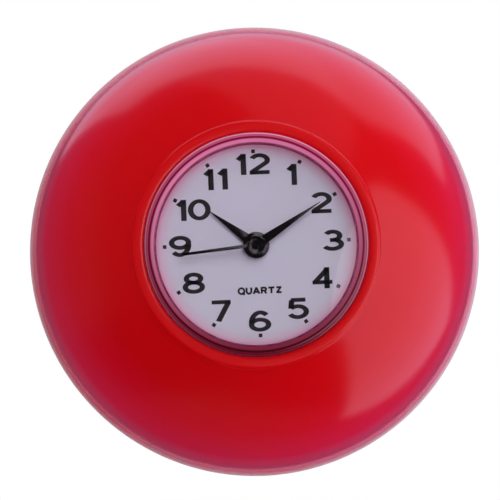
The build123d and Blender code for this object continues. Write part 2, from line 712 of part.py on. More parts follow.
# Gear phases at rest: each driven wheel is turned so that its gap takes the driving tooth
second_phase = 0.0
second_pinion_phase = 0.0
third_phase = meshed(SECOND_PINION_TEETH, second_pinion_phase, THIRD_DIRECTION, THIRD_TEETH)
third_pinion_phase = 0.0
centre_phase = meshed(THIRD_PINION_TEETH, third_pinion_phase, THIRD_DIRECTION + 180.0, CENTRE_TEETH)
fifth_pinion_phase = meshed(SECOND_TEETH, second_phase, FIFTH_DIRECTION, FIFTH_PINION_TEETH)
fifth_phase = 0.0
rotor_phase = meshed(FIFTH_TEETH, fifth_phase, ROTOR_DIRECTION, ROTOR_TEETH)
cannon_phase = 0.0
motion_phase = meshed(CANNON_TEETH, cannon_phase, MOTION_DIRECTION, MOTION_TEETH)
motion_pinion_phase = 0.0
hour_phase = meshed(MOTION_PINION_TEETH, motion_pinion_phase, MOTION_DIRECTION + 180.0, HOUR_TEETH)
pinion_length = WHEEL + 2 * PINION_OVERHANG

# Rotor: magnet on an arbor with its pinion
magnet_bottom = STATOR_HEIGHT + STATOR / 2 - MAGNET_THICKNESS / 2 + 0.15
with BuildPart() as rotor_pinion:
    add(rod(ROTOR, PIVOT_RADIUS, BRIDGE_REAR + 0.1, MAIN_FRONT - 0.1))
    add(
        toothed(
            TRAIN_MODULE, ROTOR_TEETH, rotor_phase, ROTOR, FIFTH_WHEEL_HEIGHT - PINION_OVERHANG, pinion_length
        )
    )
rotor_pinion.part.label = "rotor_pinion"

with BuildPart() as rotor_magnet:
    with BuildSketch(at_height(magnet_bottom, ROTOR)):
        Circle(MAGNET_RADIUS)
        Circle(PIVOT_RADIUS, mode=Mode.SUBTRACT)
    extrude(amount=MAGNET_THICKNESS)
rotor_magnet.part.label = "rotor_magnet"

# Fifth wheel
with BuildPart() as fifth_wheel:
    add(rod(FIFTH, PIVOT_RADIUS, BRIDGE_REAR + 0.1, MAIN_FRONT - 0.1))
    add(toothed(TRAIN_MODULE, FIFTH_TEETH, fifth_phase, FIFTH, FIFTH_WHEEL_HEIGHT, WHEEL, 4))
    add(
        toothed(
            TRAIN_MODULE,
            FIFTH_PINION_TEETH,
            fifth_pinion_phase,
            FIFTH,
            SECOND_WHEEL_HEIGHT - PINION_OVERHANG,
            pinion_length,
        )
    )
fifth_wheel.part.label = "fifth_wheel"

# Second wheel: the arbor runs through the centre tube to the second hand
with BuildPart() as second_wheel:
    add(rod(CENTRE, PIVOT_RADIUS, BRIDGE_REAR + 0.1, BRIDGE_FRONT + 0.1))
    add(rod(CENTRE, ARBOR_RADIUS, BRIDGE_FRONT + 0.1, SECOND_HAND_HEIGHT + HAND_THICKNESS))
    add(toothed(TRAIN_MODULE, SECOND_TEETH, second_phase, CENTRE, SECOND_WHEEL_HEIGHT, WHEEL, 4))
    add(
        toothed(
            TRAIN_MODULE,
            SECOND_PINION_TEETH,
            second_pinion_phase,
            CENTRE,
            SECOND_WHEEL_HEIGHT + WHEEL,
            THIRD_WHEEL_HEIGHT + WHEEL + PINION_OVERHANG - SECOND_WHEEL_HEIGHT - WHEEL,
        )
    )
second_wheel.part.label = "second_wheel"

# Third wheel
with BuildPart() as third_wheel:
    add(rod(THIRD, PIVOT_RADIUS, BRIDGE_REAR + 0.1, MAIN_FRONT - 0.1))
    add(toothed(TRAIN_MODULE, THIRD_TEETH, third_phase, THIRD, THIRD_WHEEL_HEIGHT, WHEEL, 4))
    add(
        toothed(
            CENTRE_MODULE,
            THIRD_PINION_TEETH,
            third_pinion_phase,
            THIRD,
            CENTRE_WHEEL_HEIGHT - PINION_OVERHANG,
            pinion_length,
        )
    )
third_wheel.part.label = "third_wheel"

# Centre wheel with the tube that carries the cannon pinion and the minute hand
with BuildPart() as centre_wheel:
    add(rod(CENTRE, CENTRE_TUBE, CENTRE_WHEEL_HEIGHT, MINUTE_HAND_HEIGHT + HAND_THICKNESS))
    add(toothed(CENTRE_MODULE, CENTRE_TEETH, centre_phase, CENTRE, CENTRE_WHEEL_HEIGHT, WHEEL, 4))
    with BuildSketch(at_height(CENTRE_WHEEL_HEIGHT)):
        Circle(CENTRE_TUBE_BORE)
    extrude(amount=MINUTE_HAND_HEIGHT + HAND_THICKNESS - CENTRE_WHEEL_HEIGHT, mode=Mode.SUBTRACT)
centre_wheel.part.label = "centre_wheel"

with BuildPart() as cannon_pinion:
    add(toothed(MOTION_MODULE, CANNON_TEETH, cannon_phase, CENTRE, CANNON_HEIGHT, WHEEL))
    with BuildSketch(at_height(CANNON_HEIGHT)):
        Circle(CENTRE_TUBE)
    extrude(amount=WHEEL, mode=Mode.SUBTRACT)
cannon_pinion.part.label = "cannon_pinion"

# Motion wheel: its arbor runs back through the case to the setting knob
knob_rear = POCKET_FLOOR + 0.1
with BuildPart() as motion_wheel:
    add(rod(MOTION, MOTION_ARBOR_RADIUS, knob_rear + 0.3, HOUR_WHEEL_HEIGHT + WHEEL + 0.15))
    add(toothed(MOTION_MODULE, MOTION_TEETH, motion_phase, MOTION, CANNON_HEIGHT, WHEEL, 4))
    add(
        toothed(
            HOUR_MODULE,
            MOTION_PINION_TEETH,
            motion_pinion_phase,
            MOTION,
            CANNON_HEIGHT + WHEEL,
            HOUR_WHEEL_HEIGHT - CANNON_HEIGHT + 0.1,
        )
    )
motion_wheel.part.label = "motion_wheel"

with BuildPart() as setting_knob:
    with BuildSketch(at_height(knob_rear, MOTION)):
        Circle(KNOB_RADIUS)
        with PolarLocations(KNOB_RADIUS, KNOB_GROOVES):
            Circle(0.25, mode=Mode.SUBTRACT)
    extrude(amount=KNOB_THICKNESS)
    with BuildSketch(at_height(knob_rear + 0.3, MOTION)):
        Circle(MOTION_ARBOR_RADIUS)
    extrude(amount=KNOB_THICKNESS, mode=Mode.SUBTRACT)
    with BuildSketch(at_height(knob_rear, MOTION)):
        Rectangle(KNOB_RADIUS * 1.3, 0.4)
    extrude(amount=0.2, mode=Mode.SUBTRACT)
setting_knob.part.label = "setting_knob"

# Hour wheel with the tube that carries the hour hand
with BuildPart() as hour_wheel:
    add(rod(CENTRE, HOUR_TUBE, HOUR_WHEEL_HEIGHT, HOUR_HAND_HEIGHT + HAND_THICKNESS))
    add(toothed(HOUR_MODULE, HOUR_TEETH, hour_phase, CENTRE, HOUR_WHEEL_HEIGHT, WHEEL, 4))
    with BuildSketch(at_height(HOUR_WHEEL_HEIGHT)):
        Circle(HOUR_TUBE_BORE)
    extrude(amount=HOUR_HAND_HEIGHT + HAND_THICKNESS - HOUR_WHEEL_HEIGHT, mode=Mode.SUBTRACT)
hour_wheel.part.label = "hour_wheel"

# Hands, each pressed on its arbor or tube
with BuildPart() as hour_hand:
    add(
        hand(
            HOUR_HAND_LENGTH,
            HOUR_HAND_WIDTH,
            HAND_POINT,
            HOUR_BOSS,
            HOUR_TUBE,
            HOUR_ANGLE,
            HOUR_HAND_HEIGHT,
        )
    )
hour_hand.part.label = "hour_hand"

with BuildPart() as minute_hand:
    add(
        hand(
            MINUTE_HAND_LENGTH,
            MINUTE_HAND_WIDTH,
            HAND_POINT,
            MINUTE_BOSS,
            CENTRE_TUBE,
            MINUTE_ANGLE,
            MINUTE_HAND_HEIGHT,
        )
    )
minute_hand.part.label = "minute_hand"

with BuildPart() as second_hand:
    add(
        hand(
            SECOND_HAND_LENGTH,
            SECOND_HAND_WIDTH,
            SECOND_HAND_TIP,
            SECOND_BOSS,
            ARBOR_RADIUS,
            SECOND_ANGLE,
            SECOND_HAND_HEIGHT,
        )
    )
second_hand.part.label = "second_hand"

with BuildPart() as hand_cap:
    with BuildSketch(at_height(SECOND_HAND_HEIGHT + HAND_THICKNESS)):
        Circle(CAP_RADIUS)
    extrude(amount=CAP_THICKNESS)
    fillet(hand_cap.edges().sort_by(Axis.Y)[:1], 0.15)
hand_cap.part.label = "hand_cap"

os.makedirs("parts", exist_ok=True)
export_step(suction_body.part, "parts/suction_body.step")
export_step(case.part, "parts/case.step")
export_step(knob_seal.part, "parts/knob_seal.step")
export_step(lens_gasket.part, "parts/lens_gasket.step")
export_step(lens_cap.part, "parts/lens_cap.step")
export_step(spacer_ring.part, "parts/spacer_ring.step")
export_step(dial.part, "parts/dial.step")
export_step(main_plate.part, "parts/main_plate.step")
export_step(bridge.part, "parts/bridge.step")
export_step(bridge_screws.part, "parts/bridge_screws.step")
export_step(stator.part, "parts/stator.step")
export_step(coil_core.part, "parts/coil_core.step")
export_step(coil_bobbin.part, "parts/coil_bobbin.step")
export_step(coil_winding.part, "parts/coil_winding.step")
export_step(stator_screws.part, "parts/stator_screws.step")
export_step(circuit_board.part, "parts/circuit_board.step")
export_step(chip.part, "parts/chip.step")
export_step(crystal.part, "parts/crystal.step")
export_step(contact_positive.part, "parts/contact_positive.step")
export_step(contact_negative.part, "parts/contact_negative.step")
export_step(cell_can.part, "parts/cell_can.step")
export_step(cell_ring.part, "parts/cell_ring.step")
export_step(cell_cap.part, "parts/cell_cap.step")
export_step(battery_cover.part, "parts/battery_cover.step")
export_step(cover_gasket.part, "parts/cover_gasket.step")
export_step(rotor_pinion.part, "parts/rotor_pinion.step")
export_step(rotor_magnet.part, "parts/rotor_magnet.step")
export_step(fifth_wheel.part, "parts/fifth_wheel.step")
export_step(second_wheel.part, "parts/second_wheel.step")
export_step(third_wheel.part, "parts/third_wheel.step")
export_step(centre_wheel.part, "parts/centre_wheel.step")
export_step(cannon_pinion.part, "parts/cannon_pinion.step")
export_step(motion_wheel.part, "parts/motion_wheel.step")
export_step(setting_knob.part, "parts/setting_knob.step")
export_step(hour_wheel.part, "parts/hour_wheel.step")
export_step(hour_hand.part, "parts/hour_hand.step")
export_step(minute_hand.part, "parts/minute_hand.step")
export_step(second_hand.part, "parts/second_hand.step")
export_step(hand_cap.part, "parts/hand_cap.step")
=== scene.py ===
"""Visual model of the suction-cup wall clock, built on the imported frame.

Metres in Blender, millimetres in the size fields. +Z is up, the dial faces -Y, and a height is
measured forward from the wall, so a height h lies at y = -h.
"""

from __future__ import annotations

import logging
import math
from dataclasses import dataclass, field
from enum import Enum

import bmesh
import bpy
from mathutils import Matrix, Vector

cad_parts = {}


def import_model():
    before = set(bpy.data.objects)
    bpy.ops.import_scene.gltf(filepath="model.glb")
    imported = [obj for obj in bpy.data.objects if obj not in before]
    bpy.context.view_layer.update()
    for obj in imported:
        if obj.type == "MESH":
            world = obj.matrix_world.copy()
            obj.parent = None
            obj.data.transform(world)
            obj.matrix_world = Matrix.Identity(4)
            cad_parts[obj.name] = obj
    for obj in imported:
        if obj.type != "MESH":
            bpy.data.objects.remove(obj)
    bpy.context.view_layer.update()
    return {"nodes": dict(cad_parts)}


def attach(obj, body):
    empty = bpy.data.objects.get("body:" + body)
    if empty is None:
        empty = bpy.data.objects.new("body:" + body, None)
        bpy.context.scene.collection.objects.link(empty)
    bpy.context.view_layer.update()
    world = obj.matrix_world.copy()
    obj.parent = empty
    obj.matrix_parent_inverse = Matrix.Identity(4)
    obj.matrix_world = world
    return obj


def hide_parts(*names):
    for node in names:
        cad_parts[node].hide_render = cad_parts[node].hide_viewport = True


LOG = logging.getLogger("wall_clock")
MM = 0.001
CONTROL = tuple[float, float]


def linear(colour: str) -> tuple[float, float, float, float]:
    """Turns an sRGB hex colour to linear light.

    Args:
        colour: Six hex digits, with or without a leading hash.

    Returns:
        Linear red, green, blue and an alpha of 1.
    """
    digits = colour.lstrip("#")
    channels = []
    for start in (0, 2, 4):
        value = int(digits[start : start + 2], 16) / 255
        channels.append(value / 12.92 if value <= 0.04045 else ((value + 0.055) / 1.055) ** 2.4)
    return (channels[0], channels[1], channels[2], 1.0)


def set_stops(elements: bpy.types.bpy_prop_collection, stops: list[tuple[float, str]]) -> None:
    """Gives a colour run its stops.

    Args:
        elements: The colour run's elements, of which a new run has two.
        stops: Positions from 0 to 1 in order, each with its hex colour.
    """
    elements[0].position, elements[0].color = stops[0][0], linear(stops[0][1])
    elements[1].position, elements[1].color = stops[-1][0], linear(stops[-1][1])
    for position, colour in stops[1:-1]:
        elements.new(position).color = linear(colour)


def put(
    tree: bpy.types.NodeTree,
    kind: str,
    settings: dict[str | int, object] | None = None,
    links: dict[str | int, bpy.types.NodeSocket | bpy.types.Node] | None = None,
) -> bpy.types.Node:
    """Adds a node with its settings and links.

    Args:
        tree: The node tree that gets the node.
        kind: The node's type identifier, without "ShaderNode".
        settings: Values by input name or number, or by attribute name; "stops" sets a colour run.
        links: What feeds the node, by input name or number: a socket, or a node for its first output.

    Returns:
        The new node.
    """
    node = tree.nodes.new(f"ShaderNode{kind}")
    for key, value in (settings or {}).items():
        if key == "stops":
            set_stops(node.color_ramp.elements, value)
        elif isinstance(key, str) and hasattr(node, key):
            setattr(node, key, value)
        else:
            node.inputs[key].default_value = value
    for key, source in (links or {}).items():
        socket = source.outputs[0] if isinstance(source, bpy.types.Node) else source
        tree.links.new(socket, node.inputs[key])
    return node


def new_material(name: str) -> tuple[bpy.types.Material, bpy.types.NodeTree, bpy.types.Node]:
    """Makes an empty node material.

    Args:
        name: The material's name.

    Returns:
        The material, its node tree and its output node.
    """
    material = bpy.data.materials.new(name)
    material.use_nodes = True
    tree = material.node_tree
    tree.nodes.clear()
    return material, tree, put(tree, "OutputMaterial")


def per_metre(size_mm: float) -> float:
    """The texture scale that gives a pattern of a size in millimetres on Object coordinates."""
    return 1.0 / (size_mm * MM)


def from_axis(tree: bpy.types.NodeTree, place: bpy.types.NodeSocket) -> bpy.types.NodeSocket:
    """Adds the distance from the clock axis.

    Args:
        tree: The node tree that gets it.
        place: The Object coordinates.

    Returns:
        The distance, in metres.
    """
    flat = put(tree, "VectorMath", {"operation": "MULTIPLY", 1: (1.0, 0.0, 1.0)}, {0: place})
    span = put(tree, "VectorMath", {"operation": "LENGTH"}, {0: flat.outputs["Vector"]})
    return span.outputs["Value"]


@dataclass(frozen=True)
class Plastic:
    """A moulded or cast plastic, rubber or ceramic: a little mottle, and a skin from its mould.

    Attributes:
        name: The real material and how it was made.
        colour: The main colour.
        shade: The colour in the mottle's darker patches.
        roughness: The mean roughness.
        spread: How far the roughness wanders from the mean.
        grain_mm: The size of the mould's grain.
        grain_depth_mm: How deep the grain is.
        mottle_mm: The size of the colour patches.
        coat: The weight of a clear top layer.
    """

    name: str
    colour: str
    shade: str
    roughness: float
    spread: float = 0.06
    grain_mm: float = 0.35
    grain_depth_mm: float = 0.004
    mottle_mm: float = 5.0
    coat: float = 0.0

    def material(self) -> bpy.types.Material:
        """Builds the material."""
        made, tree, output = new_material(self.name)
        place = put(tree, "TexCoord").outputs["Object"]
        mottle = put(
            tree,
            "TexNoise",
            {"Scale": per_metre(self.mottle_mm), "Detail": 3.0, "Roughness": 0.55},
            {"Vector": place},
        )
        grain = put(tree, "TexNoise", {"Scale": per_metre(self.grain_mm), "Detail": 2.0}, {"Vector": place})
        rough = put(
            tree,
            "MapRange",
            {"To Min": self.roughness - self.spread, "To Max": self.roughness + self.spread},
            {"Value": mottle},
        )
        bump = put(tree, "Bump", {"Strength": 0.6, "Distance": self.grain_depth_mm * MM}, {"Height": grain})
        tint = put(tree, "ValToRGB", {"stops": [(0.3, self.shade), (0.7, self.colour)]}, {"Fac": mottle})
        skin = put(
            tree,
            "BsdfPrincipled",
            {"IOR": 1.5, "Coat Weight": self.coat, "Coat Roughness": 0.08},
            {"Base Color": tint, "Roughness": rough, "Normal": bump},
        )
        tree.links.new(skin.outputs["BSDF"], output.inputs["Surface"])
        return made


class Lay(Enum):
    """The way that a metal's fine marks run."""

    STRAIGHT = "straight"
    TURNED = "turned"
    TUMBLED = "tumbled"


@dataclass(frozen=True)
class Metal:
    """A bare, plated or enamelled metal with the marks that its making left.

    Attributes:
        name: The real metal and how its surface was made.
        colour: The main colour.
        shade: The colour where the metal is duller.
        roughness: The mean roughness.
        lay: The way the marks run.
        mark_mm: The width of one mark.
        centre_mm: The axis of the turning marks, in X and Z.
    """

    name: str
    colour: str
    shade: str
    roughness: float
    lay: Lay = Lay.TUMBLED
    mark_mm: float = 0.12
    centre_mm: CONTROL = (0.0, 0.0)

    def marks(self, tree: bpy.types.NodeTree, place: bpy.types.NodeSocket) -> bpy.types.NodeSocket:
        """Adds the texture of the marks.

        Args:
            tree: The node tree that gets it.
            place: The Object coordinates.

        Returns:
            The height of the marks.
        """
        if self.lay is Lay.TURNED:
            middle = put(
                tree,
                "Mapping",
                {"Location": (-self.centre_mm[0] * MM, 0.0, -self.centre_mm[1] * MM), "Scale": (1, 0, 1)},
                {"Vector": place},
            )
            rings = put(
                tree,
                "TexWave",
                {
                    "wave_type": "RINGS",
                    "rings_direction": "Y",
                    "Scale": per_metre(self.mark_mm * 20),
                    "Distortion": 0.4,
                    "Detail": 2.0,
                    "Detail Scale": 2.0,
                },
                {"Vector": middle},
            )
            return rings.outputs["Fac"]
        stretch = (1.0, 1.0, 1.0) if self.lay is Lay.TUMBLED else (1.0, 1.0, 0.04)
        drawn = put(tree, "Mapping", {"Scale": stretch}, {"Vector": place})
        noise = put(
            tree,
            "TexNoise",
            {"Scale": per_metre(self.mark_mm), "Detail": 3.0, "Roughness": 0.6},
            {"Vector": drawn},
        )
        return noise.outputs["Fac"]

    def material(self) -> bpy.types.Material:
        """Builds the material."""
        made, tree, output = new_material(self.name)
        place = put(tree, "TexCoord").outputs["Object"]
        marks = self.marks(tree, place)
        patches = put(tree, "TexNoise", {"Scale": per_metre(2.5), "Detail": 3.0}, {"Vector": place})
        rough = put(
            tree,
            "MapRange",
            {"To Min": self.roughness - 0.06, "To Max": self.roughness + 0.08},
            {"Value": patches},
        )
        bump = put(tree, "Bump", {"Strength": 0.4, "Distance": 0.004 * MM}, {"Height": marks})
        tint = put(tree, "ValToRGB", {"stops": [(0.32, self.shade), (0.68, self.colour)]}, {"Fac": patches})
        skin = put(
            tree,
            "BsdfPrincipled",
            {"Metallic": 1.0},
            {"Base Color": tint, "Roughness": rough, "Normal": bump},
        )
        tree.links.new(skin.outputs["BSDF"], output.inputs["Surface"])
        return made


@dataclass(frozen=True)
class SoftPvc:
    """Plasticised PVC, injection moulded in a polished tool: wet gloss over a deep, glowing red.

    The red is deepest in the middle and runs to pink and pale at the lip. This is partly the moulding
    thinning out and partly painted light, standing in for the white surround shining through the thin lip
    and mirrored at its edge.

    Attributes:
        name: The real material and how it was made.
        rim_mm: The radius of the lip, where the colour run ends.
        ripple_mm: The size of the slow waves that a soft moulding has in its gloss.
    """

    name: str = "soft_pvc_translucent_red_moulded"
    rim_mm: float = 35.0
    ripple_mm: float = 9.0

    def material(self) -> bpy.types.Material:
        """Builds the material."""
        made, tree, output = new_material(self.name)
        place = put(tree, "TexCoord").outputs["Object"]
        run = put(tree, "Math", {"operation": "DIVIDE", 1: self.rim_mm * MM}, {0: from_axis(tree, place)})
        cloud = put(tree, "TexNoise", {"Scale": per_metre(11.0), "Detail": 2.0}, {"Vector": place})
        shifted = put(tree, "MapRange", {"To Min": -0.006, "To Max": 0.006}, {"Value": cloud})
        where = put(tree, "Math", {"operation": "ADD"}, {0: run, 1: shifted})
        # Partly painted light: the pink to pale run towards the lip stands in for light shining through the
        # thin moulding and mirrored at the rim.
        dye_and_rim_glow = put(
            tree,
            "ValToRGB",
            {
                "stops": [
                    (0.45, "#E2040F"),
                    (0.70, "#E60513"),
                    (0.82, "#EC0C2A"),
                    (0.92, "#F22250"),
                    (0.972, "#EC5484"),
                    (0.99, "#ECBCC9"),
                ]
            },
            {"Fac": where},
        )
        ripple = put(
            tree, "TexNoise", {"Scale": per_metre(self.ripple_mm), "Detail": 1.0}, {"Vector": place}
        )
        bump = put(tree, "Bump", {"Strength": 0.5, "Distance": 0.05 * MM}, {"Height": ripple})
        rough = put(tree, "MapRange", {"To Min": 0.16, "To Max": 0.22}, {"Value": cloud})
        skin = put(
            tree,
            "BsdfPrincipled",
            {
                "IOR": 1.53,
                "Subsurface Weight": 0.6,
                "Subsurface Radius": (1.0, 0.06, 0.10),
                "Subsurface Scale": 5.0 * MM,
            },
            {"Base Color": dye_and_rim_glow, "Roughness": rough, "Normal": bump},
        )
        tree.links.new(skin.outputs["BSDF"], output.inputs["Surface"])
        return made


@dataclass(frozen=True)
class ClearAcrylic:
    """Acrylic, injection moulded and polished: a clear window in a thick rim.

    The rim's rose bands, with dark lines between, are painted light: colour that stands in for the red
    moulding's light piped round and mirrored inside the clear rim.

    Attributes:
        name: The real material and how it was made.
        tint: The faint colour of the moulding.
        rim_mm: The rim's outer radius.
        window_mm: The radius where the window ends.
        skirt_mm: The height below which the skirt stays mostly clear.
        front_mm: The height above which the rim's painted glow shows in full.
        glow: How far the rim's painted glow hides what lies behind it.
    """

    name: str = "clear_acrylic_moulded"
    tint: str = "#FBF8FC"
    rim_mm: float = 17.0
    window_mm: float = 15.25
    skirt_mm: float = 25.2
    front_mm: float = 26.3
    glow: float = 0.96

    def rim_glow(
        self, tree: bpy.types.NodeTree, place: bpy.types.NodeSocket
    ) -> tuple[bpy.types.Node, bpy.types.Node]:
        """Adds the rim's painted rose glow, which shows less towards the skirt's foot and takes painted
        shade towards the bottom of the clock, away from the lamps.

        Args:
            tree: The node tree that gets it.
            place: The Object coordinates.

        Returns:
            The glow's shader, and the node that says how much of it shows.
        """
        radius = from_axis(tree, place)
        across = put(
            tree,
            "MapRange",
            {"From Min": self.window_mm * MM, "From Max": self.rim_mm * MM},
            {"Value": radius},
        )
        # Painted light: rose bands with dark lines between and a pale line of painted highlight, for light
        # piped and mirrored inside the clear rim.
        bands = put(
            tree,
            "ValToRGB",
            {
                "stops": [
                    (0.0, "#FBA6D2"),
                    (0.10, "#E8649C"),
                    (0.20, "#FC90C4"),
                    (0.44, "#FA84B4"),
                    (0.50, "#9C1844"),
                    (0.63, "#860C34"),
                    (0.70, "#E05C8A"),
                    (0.84, "#DC5684"),
                    (0.90, "#FFB8D0"),
                    (0.97, "#D84C7C"),
                ]
            },
            {"Fac": across},
        )
        outward = put(
            tree,
            "MapRange",
            {"From Min": self.window_mm * MM, "From Max": (self.window_mm + 0.3) * MM, "To Max": self.glow},
            {"Value": radius},
        )
        axes = put(tree, "SeparateXYZ", links={"Vector": place})
        forward = put(
            tree,
            "MapRange",
            {
                "From Min": -self.skirt_mm * MM,
                "From Max": -self.front_mm * MM,
                "To Min": 0.35,
                "To Max": 1.0,
            },
            {"Value": axes.outputs["Y"]},
        )
        shown = put(tree, "Math", {"operation": "MULTIPLY"}, {0: outward, 1: forward})
        # Painted shade: the glow darkens towards the bottom of the clock, away from the lamps above.
        painted_low_shade = put(
            tree,
            "MapRange",
            {"From Min": -self.rim_mm * MM, "From Max": self.rim_mm * MM, "To Min": 1.0, "To Max": 0.0},
            {"Value": axes.outputs["Z"]},
        )
        shaded = put(
            tree,
            "Mix",
            {"data_type": "RGBA", "blend_type": "MULTIPLY", 7: linear("#84384E")},
            {0: painted_low_shade, 6: bands},
        )
        glow = put(
            tree, "BsdfPrincipled", {"Roughness": 0.12, "IOR": 1.49}, {"Base Color": shaded.outputs[2]}
        )
        return glow, shown

    def material(self) -> bpy.types.Material:
        """Builds the material, whose second shader lets lamps through to what it covers."""
        made, tree, output = new_material(self.name)
        place = put(tree, "TexCoord").outputs["Object"]
        swirl = put(tree, "TexNoise", {"Scale": per_metre(8.0), "Detail": 2.0}, {"Vector": place})
        rough = put(tree, "MapRange", {"To Min": 0.0, "To Max": 0.02}, {"Value": swirl})
        bump = put(tree, "Bump", {"Strength": 0.2, "Distance": 0.01 * MM}, {"Height": swirl})
        clear = put(
            tree,
            "BsdfPrincipled",
            {"Base Color": linear(self.tint), "IOR": 1.49, "Transmission Weight": 1.0},
            {"Roughness": rough, "Normal": bump},
        )
        glow, shown = self.rim_glow(tree, place)
        moulding = put(tree, "MixShader", links={0: shown, 1: clear, 2: glow})
        through = put(tree, "BsdfTransparent", {"Color": linear(self.tint)})
        lamp = put(tree, "LightPath")
        mixed = put(tree, "MixShader", links={0: lamp.outputs["Is Shadow Ray"], 1: moulding, 2: through})
        tree.links.new(mixed.outputs["Shader"], output.inputs["Surface"])
        return made


@dataclass(frozen=True)
class DialLacquer:
    """Printed aluminium under matt lacquer: a cool lavender white with a fine eggshell tooth.

    The pink blush at the rim of the disc is painted light, standing in for the red moulding's light thrown
    in through the clear skirt.

    Attributes:
        name: The real material and how it was made.
        edge_mm: The radius of the disc.
    """

    name: str = "dial_matt_lacquer_on_aluminium"
    edge_mm: float = 15.4

    def material(self) -> bpy.types.Material:
        """Builds the material."""
        made, tree, output = new_material(self.name)
        place = put(tree, "TexCoord").outputs["Object"]
        run = put(tree, "Math", {"operation": "DIVIDE", 1: self.edge_mm * MM}, {0: from_axis(tree, place)})
        # Painted light: the pink blush towards the disc's rim stands in for red light from the moulding
        # around it.
        colour = put(
            tree,
            "ValToRGB",
            {"stops": [(0.0, "#EFF3FF"), (0.86, "#F0F4FF"), (0.94, "#F6E0F2"), (1.0, "#FAA0CE")]},
            {"Fac": run},
        )
        tooth = put(tree, "TexNoise", {"Scale": per_metre(0.12), "Detail": 2.0}, {"Vector": place})
        patches = put(tree, "TexNoise", {"Scale": per_metre(7.0), "Detail": 3.0}, {"Vector": place})
        tinted = put(
            tree,
            "Mix",
            {"data_type": "RGBA", "blend_type": "MULTIPLY", "Factor": 0.05},
            {6: colour, 7: patches.outputs["Color"]},
        )
        rough = put(tree, "MapRange", {"To Min": 0.5, "To Max": 0.62}, {"Value": patches})
        bump = put(tree, "Bump", {"Strength": 0.35, "Distance": 0.003 * MM}, {"Height": tooth})
        skin = put(
            tree,
            "BsdfPrincipled",
            {"IOR": 1.5},
            {"Base Color": tinted.outputs[2], "Roughness": rough, "Normal": bump},
        )
        tree.links.new(skin.outputs["BSDF"], output.inputs["Surface"])
        return made


# Pad-printed ink: near black, a touch uneven at its surface, and dull.
INK = Plastic("pad_print_ink_black", "#141118", "#0C0A10", 0.5, 0.05, 0.1, 0.002, 1.5)
# Black lacquer on stamped aluminium hands: deep black on the flat faces, with a thin gleam on the edges.
HAND_LACQUER = Plastic("black_lacquer_on_aluminium", "#070608", "#050406", 0.15, 0.02, 0.05, 0.001, 2.0)
# The insert's tub in polystyrene, moulded, under a wet gloss. Its clean rose is painted glow, standing in
# for the red moulding's light seen through the clear skirt.
PAINTED_GLOW_STYRENE = Plastic(
    "polystyrene_painted_rose_glow_moulded", "#D8265E", "#C01A4C", 0.22, 0.04, 0.5, 0.003, 5.0, 0.5
)
# The cover is ABS from a coarser tool, so it reads a shade greyer.
COVER_ABS = Plastic("abs_charcoal_satin_moulded", "#2A2A2D", "#202023", 0.46, 0.06, 0.35, 0.008, 4.0)
# The knob's ABS is worn a little smoother by fingers.
KNOB_ABS = Plastic("abs_black_handled_moulded", "#1D1D1F", "#131315", 0.33, 0.07, 0.3, 0.004, 2.0)
# Silicone, moulded, seen through the clear skirt above it. Its bright soft rose is partly painted glow,
# standing in for the red moulding's light piped down the skirt.
SILICONE = Plastic("silicone_rose_painted_glow_moulded", "#F0508A", "#E24079", 0.5, 0.05, 0.4, 0.004, 3.0)
# Nitrile rubber, moulded: dull black with a dusty patch here and there.
NITRILE = Plastic("nitrile_rubber_black_moulded", "#1A1A1A", "#101010", 0.6, 0.08, 0.3, 0.006, 2.0)
# Polystyrene, moulded: clean white with a weak gloss.
SPACER_STYRENE = Plastic("polystyrene_white_moulded", "#DCDBD6", "#CFCEC8", 0.38, 0.05, 0.5, 0.004, 6.0)
# ABS plate of the movement, moulded: ivory with faint flow marks.
PLATE_ABS = Plastic("abs_ivory_moulded", "#CFC8B4", "#C0B9A4", 0.42, 0.06, 0.4, 0.005, 3.5)
# Nylon bobbin, moulded: waxy natural white.
NYLON = Plastic("nylon_natural_moulded", "#DED8C6", "#D0C9B5", 0.4, 0.05, 0.3, 0.003, 2.0)
# Acetal gears, moulded: dense white with a soft gloss.
ACETAL = Plastic("acetal_white_moulded", "#E4E3DE", "#D8D6D0", 0.3, 0.04, 0.3, 0.003, 2.0)
# Solder mask over glass-fibre board: green gloss with a slight unevenness.
SOLDER_MASK = Plastic(
    "solder_mask_green_on_fibreglass", "#0E5A32", "#0A4728", 0.3, 0.05, 0.25, 0.006, 1.2, 0.4
)
# Epoxy glob over the chip: black and wet looking.
EPOXY = Plastic("epoxy_black_cured", "#111112", "#0A0A0B", 0.2, 0.05, 0.6, 0.01, 1.2, 0.6)
# Ferrite magnet, sintered: dark grey and dry.
FERRITE = Plastic("ferrite_sintered", "#3A3A3E", "#2C2C30", 0.55, 0.06, 0.15, 0.006, 0.8)
# Polypropylene seal of the cell, moulded: dull charcoal.
CELL_SEAL = Plastic("polypropylene_charcoal_moulded", "#2B2B2D", "#222224", 0.5, 0.05, 0.3, 0.003, 2.0)
# Nickel-plated bridge: warm silver with straight brushing.
BRIDGE_NICKEL = Metal("nickel_plate_brushed", "#BDB9AF", "#A8A49A", 0.32, Lay.STRAIGHT, 0.10)
# Steel screws, turned and tumbled: clean grey.
SCREW_STEEL = Metal("steel_screw_tumbled", "#B4B4B6", "#97979A", 0.3, Lay.TUMBLED, 0.12)
# Soft iron laminations, stamped: dull blue grey.
SOFT_IRON = Metal("soft_iron_stamped", "#8E8F93", "#77787C", 0.45, Lay.TUMBLED, 0.2)
# Copper wire with clear enamel, wound: orange with a fine broken sheen.
COPPER_WIRE = Metal("enamelled_copper_wound", "#C06A3C", "#9C5029", 0.3, Lay.TUMBLED, 0.08)
# Quartz crystal's can, drawn: bright and nearly smooth.
CRYSTAL_CAN = Metal("crystal_can_drawn_nickel", "#D0D0CE", "#BDBDBB", 0.16, Lay.STRAIGHT, 0.2)
